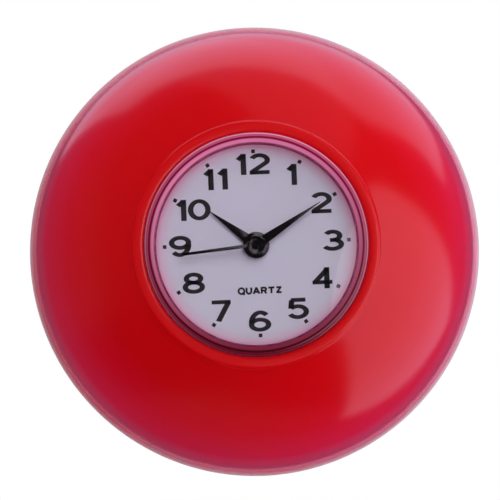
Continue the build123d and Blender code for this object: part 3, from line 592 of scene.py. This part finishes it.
# Contact strip, nickel plated and rolled: slightly yellow silver.
CONTACT_STRIP = Metal("nickel_strip_rolled", "#C9C2AC", "#B5AE98", 0.3, Lay.STRAIGHT, 0.12)
# Button cell's steel, deep drawn and burnished: bright with rings from its tool.
CELL_STEEL = Metal("cell_steel_drawn", "#CBCBCC", "#B6B6B8", 0.22, Lay.TURNED, 0.12, (0.0, -7.4))
# Brass wheels, cut and brushed: yellow with fine turned rings.
TRAIN_BRASS = Metal("brass_wheel_turned", "#C9A257", "#B08A42", 0.3, Lay.TURNED, 0.08)

PACKED_FINISHES: dict[str, Plastic | Metal] = {
    "case": PAINTED_GLOW_STYRENE,
    "battery_cover": COVER_ABS,
    "setting_knob": KNOB_ABS,
    "lens_gasket": SILICONE,
    "knob_seal": NITRILE,
    "cover_gasket": NITRILE,
    "spacer_ring": SPACER_STYRENE,
    "main_plate": PLATE_ABS,
    "coil_bobbin": NYLON,
    "rotor_pinion": ACETAL,
    "fifth_wheel": ACETAL,
    "motion_wheel": ACETAL,
    "circuit_board": SOLDER_MASK,
    "chip": EPOXY,
    "rotor_magnet": FERRITE,
    "cell_ring": CELL_SEAL,
    "bridge": BRIDGE_NICKEL,
    "bridge_screws": SCREW_STEEL,
    "stator_screws": SCREW_STEEL,
    "stator": SOFT_IRON,
    "coil_core": SOFT_IRON,
    "coil_winding": COPPER_WIRE,
    "crystal": CRYSTAL_CAN,
    "contact_positive": CONTACT_STRIP,
    "contact_negative": CONTACT_STRIP,
    "cell_can": CELL_STEEL,
    "cell_cap": CELL_STEEL,
    "second_wheel": TRAIN_BRASS,
    "third_wheel": TRAIN_BRASS,
    "centre_wheel": TRAIN_BRASS,
    "cannon_pinion": TRAIN_BRASS,
    "hour_wheel": TRAIN_BRASS,
}


def finish_mesh(bm: bmesh.types.BMesh, name: str, sharp_degrees: float = 35.0) -> bpy.types.Object:
    """Turns a bmesh to a smooth-shaded object at the origin.

    Args:
        bm: The mesh, which is freed.
        name: The new object's name.
        sharp_degrees: Edges that bend more than this stay sharp.

    Returns:
        The new object.
    """
    mesh = bpy.data.meshes.new(name)
    bm.to_mesh(mesh)
    bm.free()
    mesh.shade_smooth()
    mesh.set_sharp_from_angle(angle=math.radians(sharp_degrees))
    made = bpy.data.objects.new(name, mesh)
    bpy.context.scene.collection.objects.link(made)
    return made


def lathe(outline: list[CONTROL], steps: int) -> bmesh.types.BMesh:
    """Spins an outline round the clock axis.

    Args:
        outline: Radius and height of each point, in millimetres, with both ends on the axis.
        steps: How many steps make the full turn.

    Returns:
        A closed mesh.
    """
    bm = bmesh.new()
    points = [bm.verts.new((radius * MM, -height * MM, 0.0)) for radius, height in outline]
    runs = [bm.edges.new(pair) for pair in zip(points, points[1:])]
    bmesh.ops.spin(
        bm,
        geom=points + runs,
        cent=(0.0, 0.0, 0.0),
        axis=(0.0, 1.0, 0.0),
        angle=math.tau,
        steps=steps,
        use_merge=True,
        use_duplicate=False,
    )
    bmesh.ops.remove_doubles(bm, verts=bm.verts, dist=0.5e-6)
    bmesh.ops.recalc_face_normals(bm, faces=bm.faces)
    return bm


def dress(piece: bpy.types.Object, material: bpy.types.Material, body: str) -> None:
    """Gives a piece its material and its body.

    Args:
        piece: The piece.
        material: Its only material.
        body: The body it rides on.
    """
    piece.data.materials.clear()
    piece.data.materials.append(material)
    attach(piece, body)
    LOG.info("%s: %d faces on %s", piece.name, len(piece.data.polygons), body)


def at_dial(height_mm: float) -> Matrix:
    """A transform that stands a drawing in X and Y up on the dial at a height, its Z towards the viewer."""
    return Matrix.Translation((0.0, -height_mm * MM, 0.0)) @ Matrix.Rotation(math.pi / 2, 4, "X")


@dataclass
class SuctionCup:
    """The soft body: dome, raised collar, pocket, lip and the hollow behind.

    Attributes:
        radius: The lip's outer radius.
        lip_width: How far the lip stands out from the dome.
        lip: The lip's thickness.
        collar: The collar's outer radius.
        collar_top: The collar's height.
        collar_rise: How far the collar stands above the dome.
        pocket: The pocket's radius.
        pocket_floor: The pocket floor's height.
        hollow: The radius of the hollow behind.
        hollow_rise: The height of the hollow.
        steps: Steps round the axis.
    """

    radius: float = 35.0
    lip_width: float = 0.8
    lip: float = 0.9
    collar: float = 18.9
    collar_top: float = 26.0
    collar_rise: float = 0.8
    pocket: float = 17.08
    pocket_floor: float = 8.6
    hollow: float = 33.2
    hollow_rise: float = 5.6
    steps: int = 96

    def dome(self) -> list[CONTROL]:
        """The dome's outline, from the lip to the collar."""
        wide = self.radius - self.lip_width
        base = self.collar_top - self.collar_rise
        reach = math.sqrt(1 - (self.collar / wide) ** 2)
        high = (base - self.lip) / reach
        last = math.degrees(math.asin(reach))
        angles = [1.5, 5.0, 10.0, 16.0, 23.0, 30.0, 37.0, 44.0, 50.0, last - 1.5]
        return [
            (wide * math.cos(math.radians(angle)), self.lip + high * math.sin(math.radians(angle)))
            for angle in angles
        ]

    def outline(self) -> list[CONTROL]:
        """The whole outline, from the gate mark in the hollow round to the middle of the pocket floor."""
        rise = self.hollow_rise
        behind = [
            (0.0, rise - 0.3),
            (0.7, rise - 0.3),
            (0.9, rise - 0.22),
            (1.0, rise - 0.04),
            (1.3, rise - 0.01),
            (7.0, rise - 0.12),
            (14.0, rise - 0.5),
            (20.0, rise - 1.15),
            (25.5, rise - 2.2),
            (29.8, rise - 3.6),
            (32.3, rise - 4.9),
            (self.hollow - 0.12, 0.12),
            (self.hollow, 0.0),
        ]
        rim = [
            (self.hollow + 0.3, 0.0),
            (self.radius - 0.2, 0.0),
            (self.radius, 0.0),
            (self.radius, 0.15),
            (self.radius, self.lip * 0.55),
            (self.radius - 0.12, self.lip * 0.9),
            (self.radius - 0.4, self.lip),
            (self.radius - self.lip_width + 0.1, self.lip + 0.02),
            (self.radius - self.lip_width, self.lip + 0.25),
        ]
        top = self.collar_top
        base = top - self.collar_rise
        ring = [
            (self.collar + 0.06, base - 0.02),
            (self.collar - 0.02, base + 0.1),
            (self.collar - 0.06, top - 0.35),
            (self.collar - 0.14, top - 0.12),
            (self.collar - 0.35, top),
            (self.collar - 0.6, top),
            (self.pocket + 0.4, top),
            (self.pocket + 0.12, top - 0.06),
            (self.pocket, top - 0.25),
            (self.pocket, top - 0.8),
            (self.pocket, self.pocket_floor + 0.6),
            (self.pocket, self.pocket_floor),
            (self.pocket - 0.6, self.pocket_floor),
            (0.0, self.pocket_floor),
        ]
        return behind + rim + self.dome() + ring

    def build(self) -> None:
        """Builds the cup and dresses it."""
        body = finish_mesh(lathe(self.outline(), self.steps), "cup_moulding", 80.0)
        smooth = body.modifiers.new("soft_edges", "SUBSURF")
        smooth.levels = smooth.render_levels = 2
        dress(body, SoftPvc().material(), "cup")
        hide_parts("suction_body")


@dataclass
class LensCap:
    """The clear cap over the dial: a skirt, a rounded rim and a slightly domed window.

    Attributes:
        radius: The cap's outer radius.
        bore: The skirt's inner radius.
        skirt_foot: The height where the skirt ends.
        ceiling: The height of the window's inner face.
        window: The radius where the window meets the rim.
        edge: The window's height at its edge.
        crown: The window's height at its middle.
        rim_top: The rim's height.
        steps: Steps round the axis.
    """

    radius: float = 17.0
    bore: float = 15.5
    skirt_foot: float = 20.6
    ceiling: float = 25.7
    window: float = 15.3
    edge: float = 26.75
    crown: float = 27.15
    rim_top: float = 27.1
    steps: int = 192

    def outline(self) -> list[CONTROL]:
        """The cap's outline, from the middle of its inner face round to the middle of its window."""
        inside = [
            (0.0, self.ceiling),
            (self.bore - 0.5, self.ceiling),
            (self.bore - 0.35, self.ceiling),
            (self.bore - 0.1, self.ceiling - 0.1),
            (self.bore, self.ceiling - 0.35),
            (self.bore, self.skirt_foot),
        ]
        outside = [(self.radius, self.skirt_foot), (self.radius, self.rim_top - 0.5)]
        for angle in (22.5, 45.0, 67.5, 90.0):
            turn = math.radians(angle)
            outside.append(
                (self.radius - 0.5 + 0.5 * math.cos(turn), self.rim_top - 0.5 + 0.5 * math.sin(turn))
            )
        outside += [(self.window + 0.34, self.rim_top), (self.window + 0.12, self.rim_top - 0.08)]
        window = [(self.window, self.edge)]
        for share in (0.8, 0.6, 0.4, 0.2, 0.0):
            window.append((self.window * share, self.crown - (self.crown - self.edge) * share**2))
        return inside + outside + window

    def build(self) -> None:
        """Builds the cap and dresses it."""
        cap = finish_mesh(lathe(self.outline(), self.steps), "lens_moulding", 28.0)
        dress(cap, ClearAcrylic().material(), "insert")
        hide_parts("lens_cap")


@dataclass
class DialPrint:
    """The printing on the dial: wide figures, square hour marks and the word for the movement.

    Attributes:
        dial_front: The height of the dial's face.
        ink: The thickness of the ink.
        stroke: The width of a level stroke.
        stretch: How much wider than drawn the figures are.
        figure_radius: The radius of the circle that the figures stand on.
        figure_scale: How much larger than drawn the figures are.
        offset: How far the print sits off the axis, as a pad prints it.
        mark_radius: The radius of the circle of hour marks.
        mark: The side of an hour mark.
        word_drop: How far below the middle the word stands.
        word_height: The height of its capitals.
        word_stroke: The width of their strokes.
        word_pitch: The distance from one letter to the next.
        word_shift: How far to the right of the print's middle the word stands.
        one_shift: How far to the right the lone 1 stands.
        pull: How much further out than the circle an hour's number stands.
        spread: How far to the right each digit of a two-digit number stands.
    """

    dial_front: float = 23.2
    ink: float = 0.03
    stroke: float = 0.57
    stretch: float = 1.4
    figure_radius: float = 11.75
    figure_scale: float = 1.04
    offset: CONTROL = (0.1, 0.28)
    mark_radius: float = 13.93
    mark: float = 0.56
    word_drop: float = 7.13
    word_height: float = 0.98
    word_stroke: float = 0.3
    word_pitch: float = 1.13
    word_shift: float = 0.22
    one_shift: float = 0.18
    pull: dict[int, float] = field(
        default_factory=lambda: {
            2: -0.24,
            3: -0.27,
            4: -0.5,
            5: -0.1,
            7: -0.24,
            8: -0.48,
            9: -0.18,
            10: -0.93,
            11: -0.32,
            12: 0.25,
        }
    )
    spread: dict[int, CONTROL] = field(
        default_factory=lambda: {10: (-1.46, 0.9), 11: (-0.82, 1.31), 12: (-1.54, 0.87)}
    )

    @staticmethod
    def bow(centre: CONTROL, radii: CONTROL, start: float, end: float) -> list[CONTROL]:
        """Points along part of an oval.

        Args:
            centre: Its centre.
            radii: Its half width and half height.
            start: The first angle, in degrees from the right, counter-clockwise.
            end: The last angle.

        Returns:
            The points.
        """
        count = max(2, int(abs(end - start) / 7.5))
        angles = [math.radians(start + (end - start) * step / count) for step in range(count + 1)]
        return [
            (centre[0] + radii[0] * math.cos(angle), centre[1] + radii[1] * math.sin(angle))
            for angle in angles
        ]

    def figure(self, digit: str) -> list[tuple[list[CONTROL], bool]]:
        """The middle lines of a figure's strokes, in millimetres from its centre, before the stretch.

        Args:
            digit: The figure.

        Returns:
            Each stroke's points, and whether it closes.
        """
        top, foot, side = 1.25, -1.25, 0.9
        end = top + self.stroke / 2
        shapes: dict[str, list[tuple[list[CONTROL], bool]]] = {
            "0": [(self.bow((0, 0), (side, top), 0, 360)[:-1], True)],
            "1": [([(0, end), (0, -end)], False), ([(-0.58, 0.66), (-0.02, 1.3)], False)],
            "2": [
                (self.bow((0.02, 0.52), (0.82, 0.73), 158, -28) + [(-0.82, -1.18)], False),
                ([(-1.04, foot), (1.04, foot)], False),
            ],
            "3": [
                (self.bow((0.0, 0.64), (0.74, 0.61), 152, -90), False),
                (self.bow((-0.02, -0.6), (0.9, 0.65), 90, -155), False),
                ([(-0.3, 0.04), (0.02, 0.04)], False),
            ],
            "4": [
                ([(0.42, end), (0.42, -end)], False),
                ([(0.5, 1.3), (-0.84, -0.62)], False),
                ([(-1.08, -0.62), (0.98, -0.62)], False),
            ],
            "5": [
                ([(-0.72, top), (0.8, top)], False),
                ([(-0.62, top), (-0.74, 0.0)], False),
                (self.bow((-0.04, -0.46), (0.88, 0.79), 142, -155), False),
            ],
            "6": [
                (self.bow((0.0, -0.52), (0.88, 0.73), 0, 360)[:-1], True),
                (self.bow((0.06, -0.3), (0.94, 1.55), 47, 178), False),
            ],
            "7": [([(-0.98, top), (1.0, top)], False), ([(0.78, top), (-0.34, -end)], False)],
            "8": [
                (self.bow((0, 0.66), (0.74, 0.59), 0, 360)[:-1], True),
                (self.bow((0, -0.58), (0.88, 0.67), 0, 360)[:-1], True),
            ],
        }
        if digit == "9":
            return [([(-x, -y) for x, y in points], closes) for points, closes in self.figure("6")]
        return shapes[digit]

    def letter(self, sign: str) -> list[tuple[list[CONTROL], bool]]:
        """The middle lines of a capital, in shares of its height, standing on zero.

        Args:
            sign: The capital.

        Returns:
            Each stroke's points, and whether it closes.
        """
        shapes: dict[str, list[tuple[list[CONTROL], bool]]] = {
            "Q": [
                (self.bow((0, 0.5), (0.44, 0.44), 0, 360)[:-1], True), ([(0.1, 0.24), (0.5, -0.08)], False)
            ],
            "U": [
                (
                    [(-0.36, 1.0), (-0.36, 0.42)]
                    + self.bow((0, 0.42), (0.36, 0.36), 180, 360)
                    + [(0.36, 1.0)],
                    False,
                ),
            ],
            "A": [
                ([(-0.46, 0.0), (0.03, 1.0)], False),
                ([(-0.03, 1.0), (0.46, 0.0)], False),
                ([(-0.3, 0.3), (0.3, 0.3)], False),
            ],
            "R": [
                ([(-0.34, 0.0), (-0.34, 1.0)], False),
                ([(-0.34, 0.9)] + self.bow((0.08, 0.68), (0.26, 0.22), 90, -90) + [(-0.34, 0.46)], False),
                ([(0.06, 0.46), (0.36, 0.0)], False),
            ],
            "T": [([(-0.46, 0.88), (0.46, 0.88)], False), ([(0.0, 0.9), (0.0, 0.0)], False)],
            "Z": [
                ([(-0.38, 0.88), (0.4, 0.88)], False),
                ([(0.3, 0.94), (-0.3, 0.06)], False),
                ([(-0.42, 0.12), (0.42, 0.12)], False),
            ],
        }
        return shapes[sign]

    def inked(self, strokes: list[tuple[list[CONTROL], bool]], width: float) -> bmesh.types.BMesh:
        """Sweeps a flat section along middle lines and gives the mesh.

        Args:
            strokes: Points of each stroke, in millimetres, and whether it closes.
            width: The width of the stroke.

        Returns:
            The strokes as closed flat solids, standing on Z = 0.
        """
        nib = bpy.data.curves.new("nib", "CURVE")
        nib.dimensions = "2D"
        edge = nib.splines.new("POLY")
        edge.points.add(3)
        half, high = width / 2 * MM, self.ink * MM
        for point, (across, up) in zip(edge.points, ((-half, 0), (half, 0), (half, high), (-half, high))):
            point.co = (across, up, 0.0, 1.0)
        edge.use_cyclic_u = True
        nib_object = bpy.data.objects.new("nib", nib)
        path = bpy.data.curves.new("path", "CURVE")
        path.dimensions = "3D"
        path.twist_mode = "Z_UP"
        path.bevel_mode = "OBJECT"
        path.bevel_object = nib_object
        path.use_fill_caps = True
        for points, closes in strokes:
            spline = path.splines.new("POLY")
            spline.points.add(len(points) - 1)
            for point, (x, y) in zip(spline.points, points):
                point.co = (x * MM, y * MM, 0.0, 1.0)
            spline.use_cyclic_u = closes
        path_object = bpy.data.objects.new("path", path)
        for made in (nib_object, path_object):
            bpy.context.scene.collection.objects.link(made)
        graph = bpy.context.evaluated_depsgraph_get()
        mesh = bpy.data.meshes.new_from_object(path_object.evaluated_get(graph))
        bm = bmesh.new()
        bm.from_mesh(mesh)
        bpy.data.meshes.remove(mesh)
        for made in (path_object, nib_object):
            bpy.data.objects.remove(made)
        bmesh.ops.remove_doubles(bm, verts=bm.verts, dist=1e-7)
        bmesh.ops.recalc_face_normals(bm, faces=bm.faces)
        return bm

    def gather(self, whole: bmesh.types.BMesh, piece: bmesh.types.BMesh, place: Matrix) -> None:
        """Moves a mesh into place and adds it to another.

        Args:
            whole: The mesh that gets it.
            piece: The mesh to add, which is freed.
            place: Where it goes.
        """
        bmesh.ops.transform(piece, matrix=place, verts=piece.verts)
        carrier = bpy.data.meshes.new("carrier")
        piece.to_mesh(carrier)
        piece.free()
        whole.from_mesh(carrier)
        bpy.data.meshes.remove(carrier)

    def on_dial(self) -> Matrix:
        """The place of the print's own middle on the dial's face."""
        return at_dial(self.dial_front) @ Matrix.Translation((self.offset[0] * MM, self.offset[1] * MM, 0.0))

    def figures(self) -> bmesh.types.BMesh:
        """All twelve hour numbers, in place on the dial."""
        whole = bmesh.new()
        for hour in range(1, 13):
            angle = math.radians(30 * hour)
            radius = self.figure_radius + self.pull.get(hour, 0.0)
            centre = (radius * math.sin(angle), radius * math.cos(angle))
            spots = self.spread.get(hour, (self.one_shift if hour == 1 else 0.0,))
            for digit, shift in zip(str(hour), spots):
                bm = self.inked(self.figure(digit), self.stroke)
                spot = Matrix.Translation(((centre[0] + shift) * MM, centre[1] * MM, 0.0))
                grown = (self.stretch * self.figure_scale, self.figure_scale, 1, 1)
                self.gather(whole, bm, self.on_dial() @ spot @ Matrix.Diagonal(grown))
        return whole

    def marks(self) -> bmesh.types.BMesh:
        """The twelve square hour marks."""
        whole = bmesh.new()
        for hour in range(12):
            turn = Matrix.Rotation(math.radians(-30 * hour), 4, "Z")
            spot = Matrix.Translation((0.0, self.mark_radius * MM, self.ink / 2 * MM))
            size = Matrix.Diagonal((self.mark * MM, self.mark * MM, self.ink * MM, 1))
            made = bmesh.ops.create_cube(whole, size=1.0)
            bmesh.ops.transform(whole, matrix=self.on_dial() @ turn @ spot @ size, verts=made["verts"])
        return whole

    def word(self) -> bmesh.types.BMesh:
        """The generic word for the kind of movement."""
        whole = bmesh.new()
        for place, sign in enumerate("QUARTZ"):
            strokes = [
                ([(x * self.word_height, y * self.word_height) for x, y in points], closes)
                for points, closes in self.letter(sign)
            ]
            bm = self.inked(strokes, self.word_stroke)
            right = self.word_shift + (place - 2.5) * self.word_pitch
            foot = -self.word_drop - self.word_height / 2
            spot = Matrix.Translation((right * MM, foot * MM, 0.0))
            self.gather(whole, bm, self.on_dial() @ spot)
        return whole

    def build(self) -> None:
        """Builds the printing and dresses it."""
        ink = INK.material()
        for name, bm in (
            ("dial_figures", self.figures()), ("dial_hour_marks", self.marks()), ("dial_word", self.word())
        ):
            dress(finish_mesh(bm, name), ink, "insert")


@dataclass
class Hand:
    """A tapered hand with a round boss.

    Attributes:
        name: The piece's name.
        node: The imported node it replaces.
        body: The body it rides on.
        height: The height of its rear face.
        length: From the axis to the tip.
        width: Its width at the axis.
        tip: Its width at the tip.
        boss: The boss's radius.
        clock_angle: Where it points, in degrees clockwise from the 12.
        thickness: Its thickness.
        boss_rise: How far the boss stands in front of the blade.
    """

    name: str
    node: str
    body: str
    height: float
    length: float
    width: float
    tip: float
    boss: float
    clock_angle: float
    thickness: float = 0.2
    boss_rise: float = 0.0

    def build(self, material: bpy.types.Material) -> None:
        """Builds the hand and dresses it.

        Args:
            material: Its lacquer.
        """
        bm = bmesh.new()
        blade = [
            bm.verts.new((across * MM, along * MM, 0.0))
            for across, along in (
                (-self.width / 2, 0.0),
                (self.width / 2, 0.0),
                (self.tip / 2, self.length - self.tip * 0.3),
                (0.0, self.length),
                (-self.tip / 2, self.length - self.tip * 0.3),
            )
        ]
        face = bm.faces.new(blade)
        raised = bmesh.ops.extrude_face_region(bm, geom=[face])
        lifted = [item for item in raised["geom"] if isinstance(item, bmesh.types.BMVert)]
        bmesh.ops.translate(bm, verts=lifted, vec=(0.0, 0.0, self.thickness * MM))
        bmesh.ops.recalc_face_normals(bm, faces=bm.faces)
        middle = self.thickness * MM * 0.5
        crown = [edge for edge in bm.edges if all(vert.co.z > middle for vert in edge.verts)]
        bmesh.ops.bevel(
            bm,
            geom=crown,
            offset=0.05 * MM,
            offset_type="OFFSET",
            segments=2,
            profile=0.5,
            affect="EDGES",
            material=-1,
        )
        disc = bmesh.ops.create_cone(
            bm,
            cap_ends=True,
            segments=96,
            radius1=self.boss * MM,
            radius2=self.boss * MM,
            depth=(self.thickness + self.boss_rise) * MM,
        )
        bmesh.ops.translate(
            bm, verts=disc["verts"], vec=(0.0, 0.0, (self.thickness + self.boss_rise) / 2 * MM)
        )
        front = (self.thickness + self.boss_rise) * MM
        rim = {
            edge
            for vert in disc["verts"]
            if vert.co.z > front * 0.9
            for edge in vert.link_edges
            if all(end.co.z > front * 0.9 for end in edge.verts)
        }
        bmesh.ops.bevel(
            bm,
            geom=list(rim),
            offset=0.05 * MM,
            offset_type="OFFSET",
            segments=2,
            profile=0.5,
            affect="EDGES",
            material=-1,
        )
        turn = Matrix.Rotation(math.radians(-self.clock_angle), 4, "Z")
        bmesh.ops.transform(bm, matrix=at_dial(self.height) @ turn, verts=bm.verts)
        made = finish_mesh(bm, self.name, 30.0)
        dress(made, material, self.body)
        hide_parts(self.node)


@dataclass
class HandStack:
    """The three hands and the cap that hides the end of the arbor.

    Attributes:
        cap_radius: The cap's radius.
        cap_rear: The height of the cap's rear face.
        cap_thickness: The cap's thickness.
        steps: Steps round the cap's axis.
    """

    cap_radius: float = 1.4
    cap_rear: float = 25.0
    cap_thickness: float = 0.4
    steps: int = 96

    def cap_outline(self) -> list[CONTROL]:
        """The cap's outline: a shallow dish with a rounded rim."""
        rear, front = self.cap_rear, self.cap_rear + self.cap_thickness
        wide = self.cap_radius
        return [
            (0.0, rear),
            (wide - 0.06, rear),
            (wide, rear + 0.06),
            (wide, front - 0.12),
            (wide - 0.04, front - 0.03),
            (wide - 0.12, front),
            (wide - 0.2, front - 0.02),
            (wide - 0.26, front - 0.1),
            (wide - 0.34, front - 0.13),
            (wide * 0.4, front - 0.13),
            (0.0, front - 0.13),
        ]

    def build(self) -> None:
        """Builds the hands and the cap and dresses them."""
        lacquer = HAND_LACQUER.material()
        for hand in (
            Hand(
                name="hour_hand_blade",
                node="hour_hand",
                body="hour",
                height=23.6,
                length=8.6,
                width=1.8,
                tip=0.12,
                boss=2.0,
                clock_angle=308.1,
                boss_rise=0.1,
            ),
            Hand(
                name="minute_hand_blade",
                node="minute_hand",
                body="centre",
                height=24.2,
                length=11.7,
                width=1.6,
                tip=0.1,
                boss=1.4,
                clock_angle=58.3,
            ),
            Hand(
                name="second_hand_blade",
                node="second_hand",
                body="second",
                height=24.8,
                length=11.4,
                width=0.56,
                tip=0.42,
                boss=1.0,
                clock_angle=264.7,
            ),
        ):
            hand.build(lacquer)
        cap = finish_mesh(lathe(self.cap_outline(), self.steps), "second_hand_cap", 30.0)
        dress(cap, lacquer, "second")
        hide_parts("hand_cap")


@dataclass
class PackedPieces:
    """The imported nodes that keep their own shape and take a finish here.

    Attributes:
        nodes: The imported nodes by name.
    """

    nodes: dict[str, bpy.types.Object]

    def dress_all(self) -> None:
        """Gives every kept node its finish."""
        made: dict[str, bpy.types.Material] = {}
        for name, finish in PACKED_FINISHES.items():
            if finish.name not in made:
                made[finish.name] = finish.material()
            self.give(name, made[finish.name])
        self.give("dial", DialLacquer().material())

    def give(self, name: str, material: bpy.types.Material) -> None:
        """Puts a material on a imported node.

        Args:
            name: The node.
            material: Its material.
        """
        node = self.nodes[name]
        node.data.materials.clear()
        node.data.materials.append(material)
        LOG.info("%s: %s", name, material.name)


# The studio's tubes lean to violet, as the pale dial shows.
COOL = "#F0E6FF"


@dataclass
class Softbox:
    """A soft square lamp.

    Attributes:
        name: The lamp's name.
        place: Where it stands, in metres.
        size: Its width and height, in metres.
        radiance: How bright its face is.
        aim: The point it faces.
        mirrored: False keeps it out of what the clock mirrors.
        colour: Its colour.
        roll: How far it is rolled about the way it faces, in degrees.
        through: True lets it light what stands behind the window.
    """

    name: str
    place: tuple[float, float, float]
    size: tuple[float, float]
    radiance: float
    aim: tuple[float, float, float] = (0.0, -0.012, 0.0)
    mirrored: bool = False
    colour: str = "#FFFFFF"
    roll: float = 0.0
    through: bool = False

    def build(self) -> None:
        """Builds the lamp."""
        lamp = bpy.data.lights.new(self.name, "AREA")
        lamp.shape = "RECTANGLE"
        lamp.size, lamp.size_y = self.size
        lamp.energy = self.radiance * math.pi * self.size[0] * self.size[1]
        lamp.color = linear(self.colour)[:3]
        made = bpy.data.objects.new(self.name, lamp)
        made.location = self.place
        facing = Vector(self.aim) - Vector(self.place)
        rolled = Matrix.Rotation(math.radians(self.roll), 3, "Z")
        turned = facing.to_track_quat("-Z", "Y").to_matrix() @ rolled
        made.rotation_euler = turned.to_euler()
        made.visible_camera = False
        made.visible_glossy = self.mirrored
        made.visible_transmission = self.mirrored or self.through
        bpy.context.scene.collection.objects.link(made)


@dataclass
class Studio:
    """The pale floor, the lamps, the white surround and the camera.

    Attributes:
        distance: From the camera to the cup, in metres.
        azimuth: How far round the camera stands, in degrees.
        elevation: How far above the axis it stands, in degrees.
        roll: How far the camera is rolled, in degrees.
        view_width: The width of what it sees at the lip, in metres.
        shift: The camera's shift.
        fill: How bright the surround is as light.
        mirrored: How bright the surround is in what the clock mirrors.
    """

    distance: float = 0.9
    azimuth: float = -0.72
    elevation: float = -2.3
    roll: float = -2.35
    view_width: float = 0.07795
    shift: tuple[float, float] = (-0.009, 0.003)
    fill: float = 0.3
    mirrored: float = 0.03

    def camera(self) -> None:
        """Builds the camera."""
        lens = bpy.data.cameras.new("studio_camera")
        lens.sensor_width = 36.0
        lens.lens = 36.0 * self.distance / self.view_width
        lens.clip_start, lens.clip_end = 0.05, 20.0
        lens.shift_x, lens.shift_y = self.shift
        made = bpy.data.objects.new("studio_camera", lens)
        turn, rise = math.radians(self.azimuth), math.radians(self.elevation)
        back = Vector((math.sin(turn) * math.cos(rise), -math.cos(turn) * math.cos(rise), math.sin(rise)))
        made.location = back * self.distance
        facing = (-back).to_track_quat("-Z", "Y").to_matrix().to_4x4()
        made.rotation_euler = (facing @ Matrix.Rotation(math.radians(self.roll), 4, "Z")).to_euler()
        bpy.context.scene.collection.objects.link(made)
        bpy.context.scene.camera = made

    def floor(self) -> None:
        """Builds the pale floor."""
        bm = bmesh.new()
        bmesh.ops.create_grid(bm, x_segments=1, y_segments=1, size=3.0)
        bmesh.ops.translate(bm, verts=bm.verts, vec=(0.0, 0.0, -1.2))
        floor = finish_mesh(bm, "studio_floor")
        made, tree, output = new_material("studio_paper")
        sight = put(tree, "LightPath")
        shown = put(tree, "Emission", {"Color": linear("#FBFBFB")})
        mirrored = put(tree, "BsdfDiffuse", {"Color": linear("#3C3C3C")})
        paper = put(tree, "MixShader", links={0: sight.outputs["Is Camera Ray"], 1: mirrored, 2: shown})
        tree.links.new(paper.outputs["Shader"], output.inputs["Surface"])
        floor.data.materials.append(made)

    def surround(self) -> None:
        """Sets the surround: white to the camera, and dim in what the clock mirrors."""
        world = bpy.data.worlds.new("studio_surround")
        world.use_nodes = True
        tree = world.node_tree
        tree.nodes.clear()
        sight = put(tree, "LightPath")
        sharp = put(
            tree,
            "Math",
            {"operation": "MULTIPLY_ADD", 1: 0.35},
            {0: sight.outputs["Is Transmission Ray"], 2: sight.outputs["Is Glossy Ray"]},
        )
        fill = put(tree, "MapRange", {"To Min": self.fill, "To Max": self.mirrored}, {"Value": sharp})
        level = put(
            tree, "MapRange", {"To Max": 1.0}, {"Value": sight.outputs["Is Camera Ray"], "To Min": fill}
        )
        light = put(tree, "Background", {"Color": (1.0, 1.0, 1.0, 1.0)}, {"Strength": level})
        output = put(tree, "OutputWorld")
        tree.links.new(light.outputs["Background"], output.inputs["Surface"])
        bpy.context.scene.world = world

    def build(self) -> None:
        """Builds the studio."""
        for box in (
            Softbox(
                "right_softbox",
                (0.66, -0.02, -0.26),
                (1.4, 0.86),
                1.04,
                aim=(0.03, 0.17, 0.01),
                mirrored=True,
                colour=COOL,
                roll=-36.0,
            ),
            Softbox("top_softbox", (0.1, 0.4, 0.5), (1.3, 0.7), 0.76, mirrored=True, colour=COOL),
            Softbox("overhead_softbox", (0.1, 0.05, 0.62), (1.6, 0.5), 0.24, mirrored=True, colour=COOL),
            Softbox(
                "window_card",
                (0.219, -0.9, -0.035),
                (0.24, 0.34),
                2.0,
                mirrored=True,
                colour="#FFEAF2",
                roll=-17.0,
            ),
            Softbox("key_softbox", (0.2, -0.75, 0.42), (0.55, 0.55), 2.72, through=True),
            Softbox("low_softbox", (0.25, -0.85, -0.2), (0.35, 0.5), 0.75),
            Softbox("left_softbox", (-0.5, -0.7, -0.1), (0.4, 0.6), 0.32),
            Softbox("left_rim_softbox", (-0.7, 0.15, 0.05), (0.6, 0.7), 1.0),
            Softbox("low_rim_softbox", (-0.1, 0.15, -0.7), (0.7, 0.6), 1.7),
        ):
            box.build()
        self.surround()
        self.floor()
        self.camera()
        bpy.context.scene.view_settings.view_transform = "Standard"


def main() -> None:
    """Builds the clock in order."""
    logging.basicConfig(level=logging.INFO, format="%(message)s")
    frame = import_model()
    SuctionCup().build()
    LensCap().build()
    PackedPieces(frame["nodes"]).dress_all()
    DialPrint().build()
    HandStack().build()
    Studio().build()


if __name__ == "__main__":
    main()
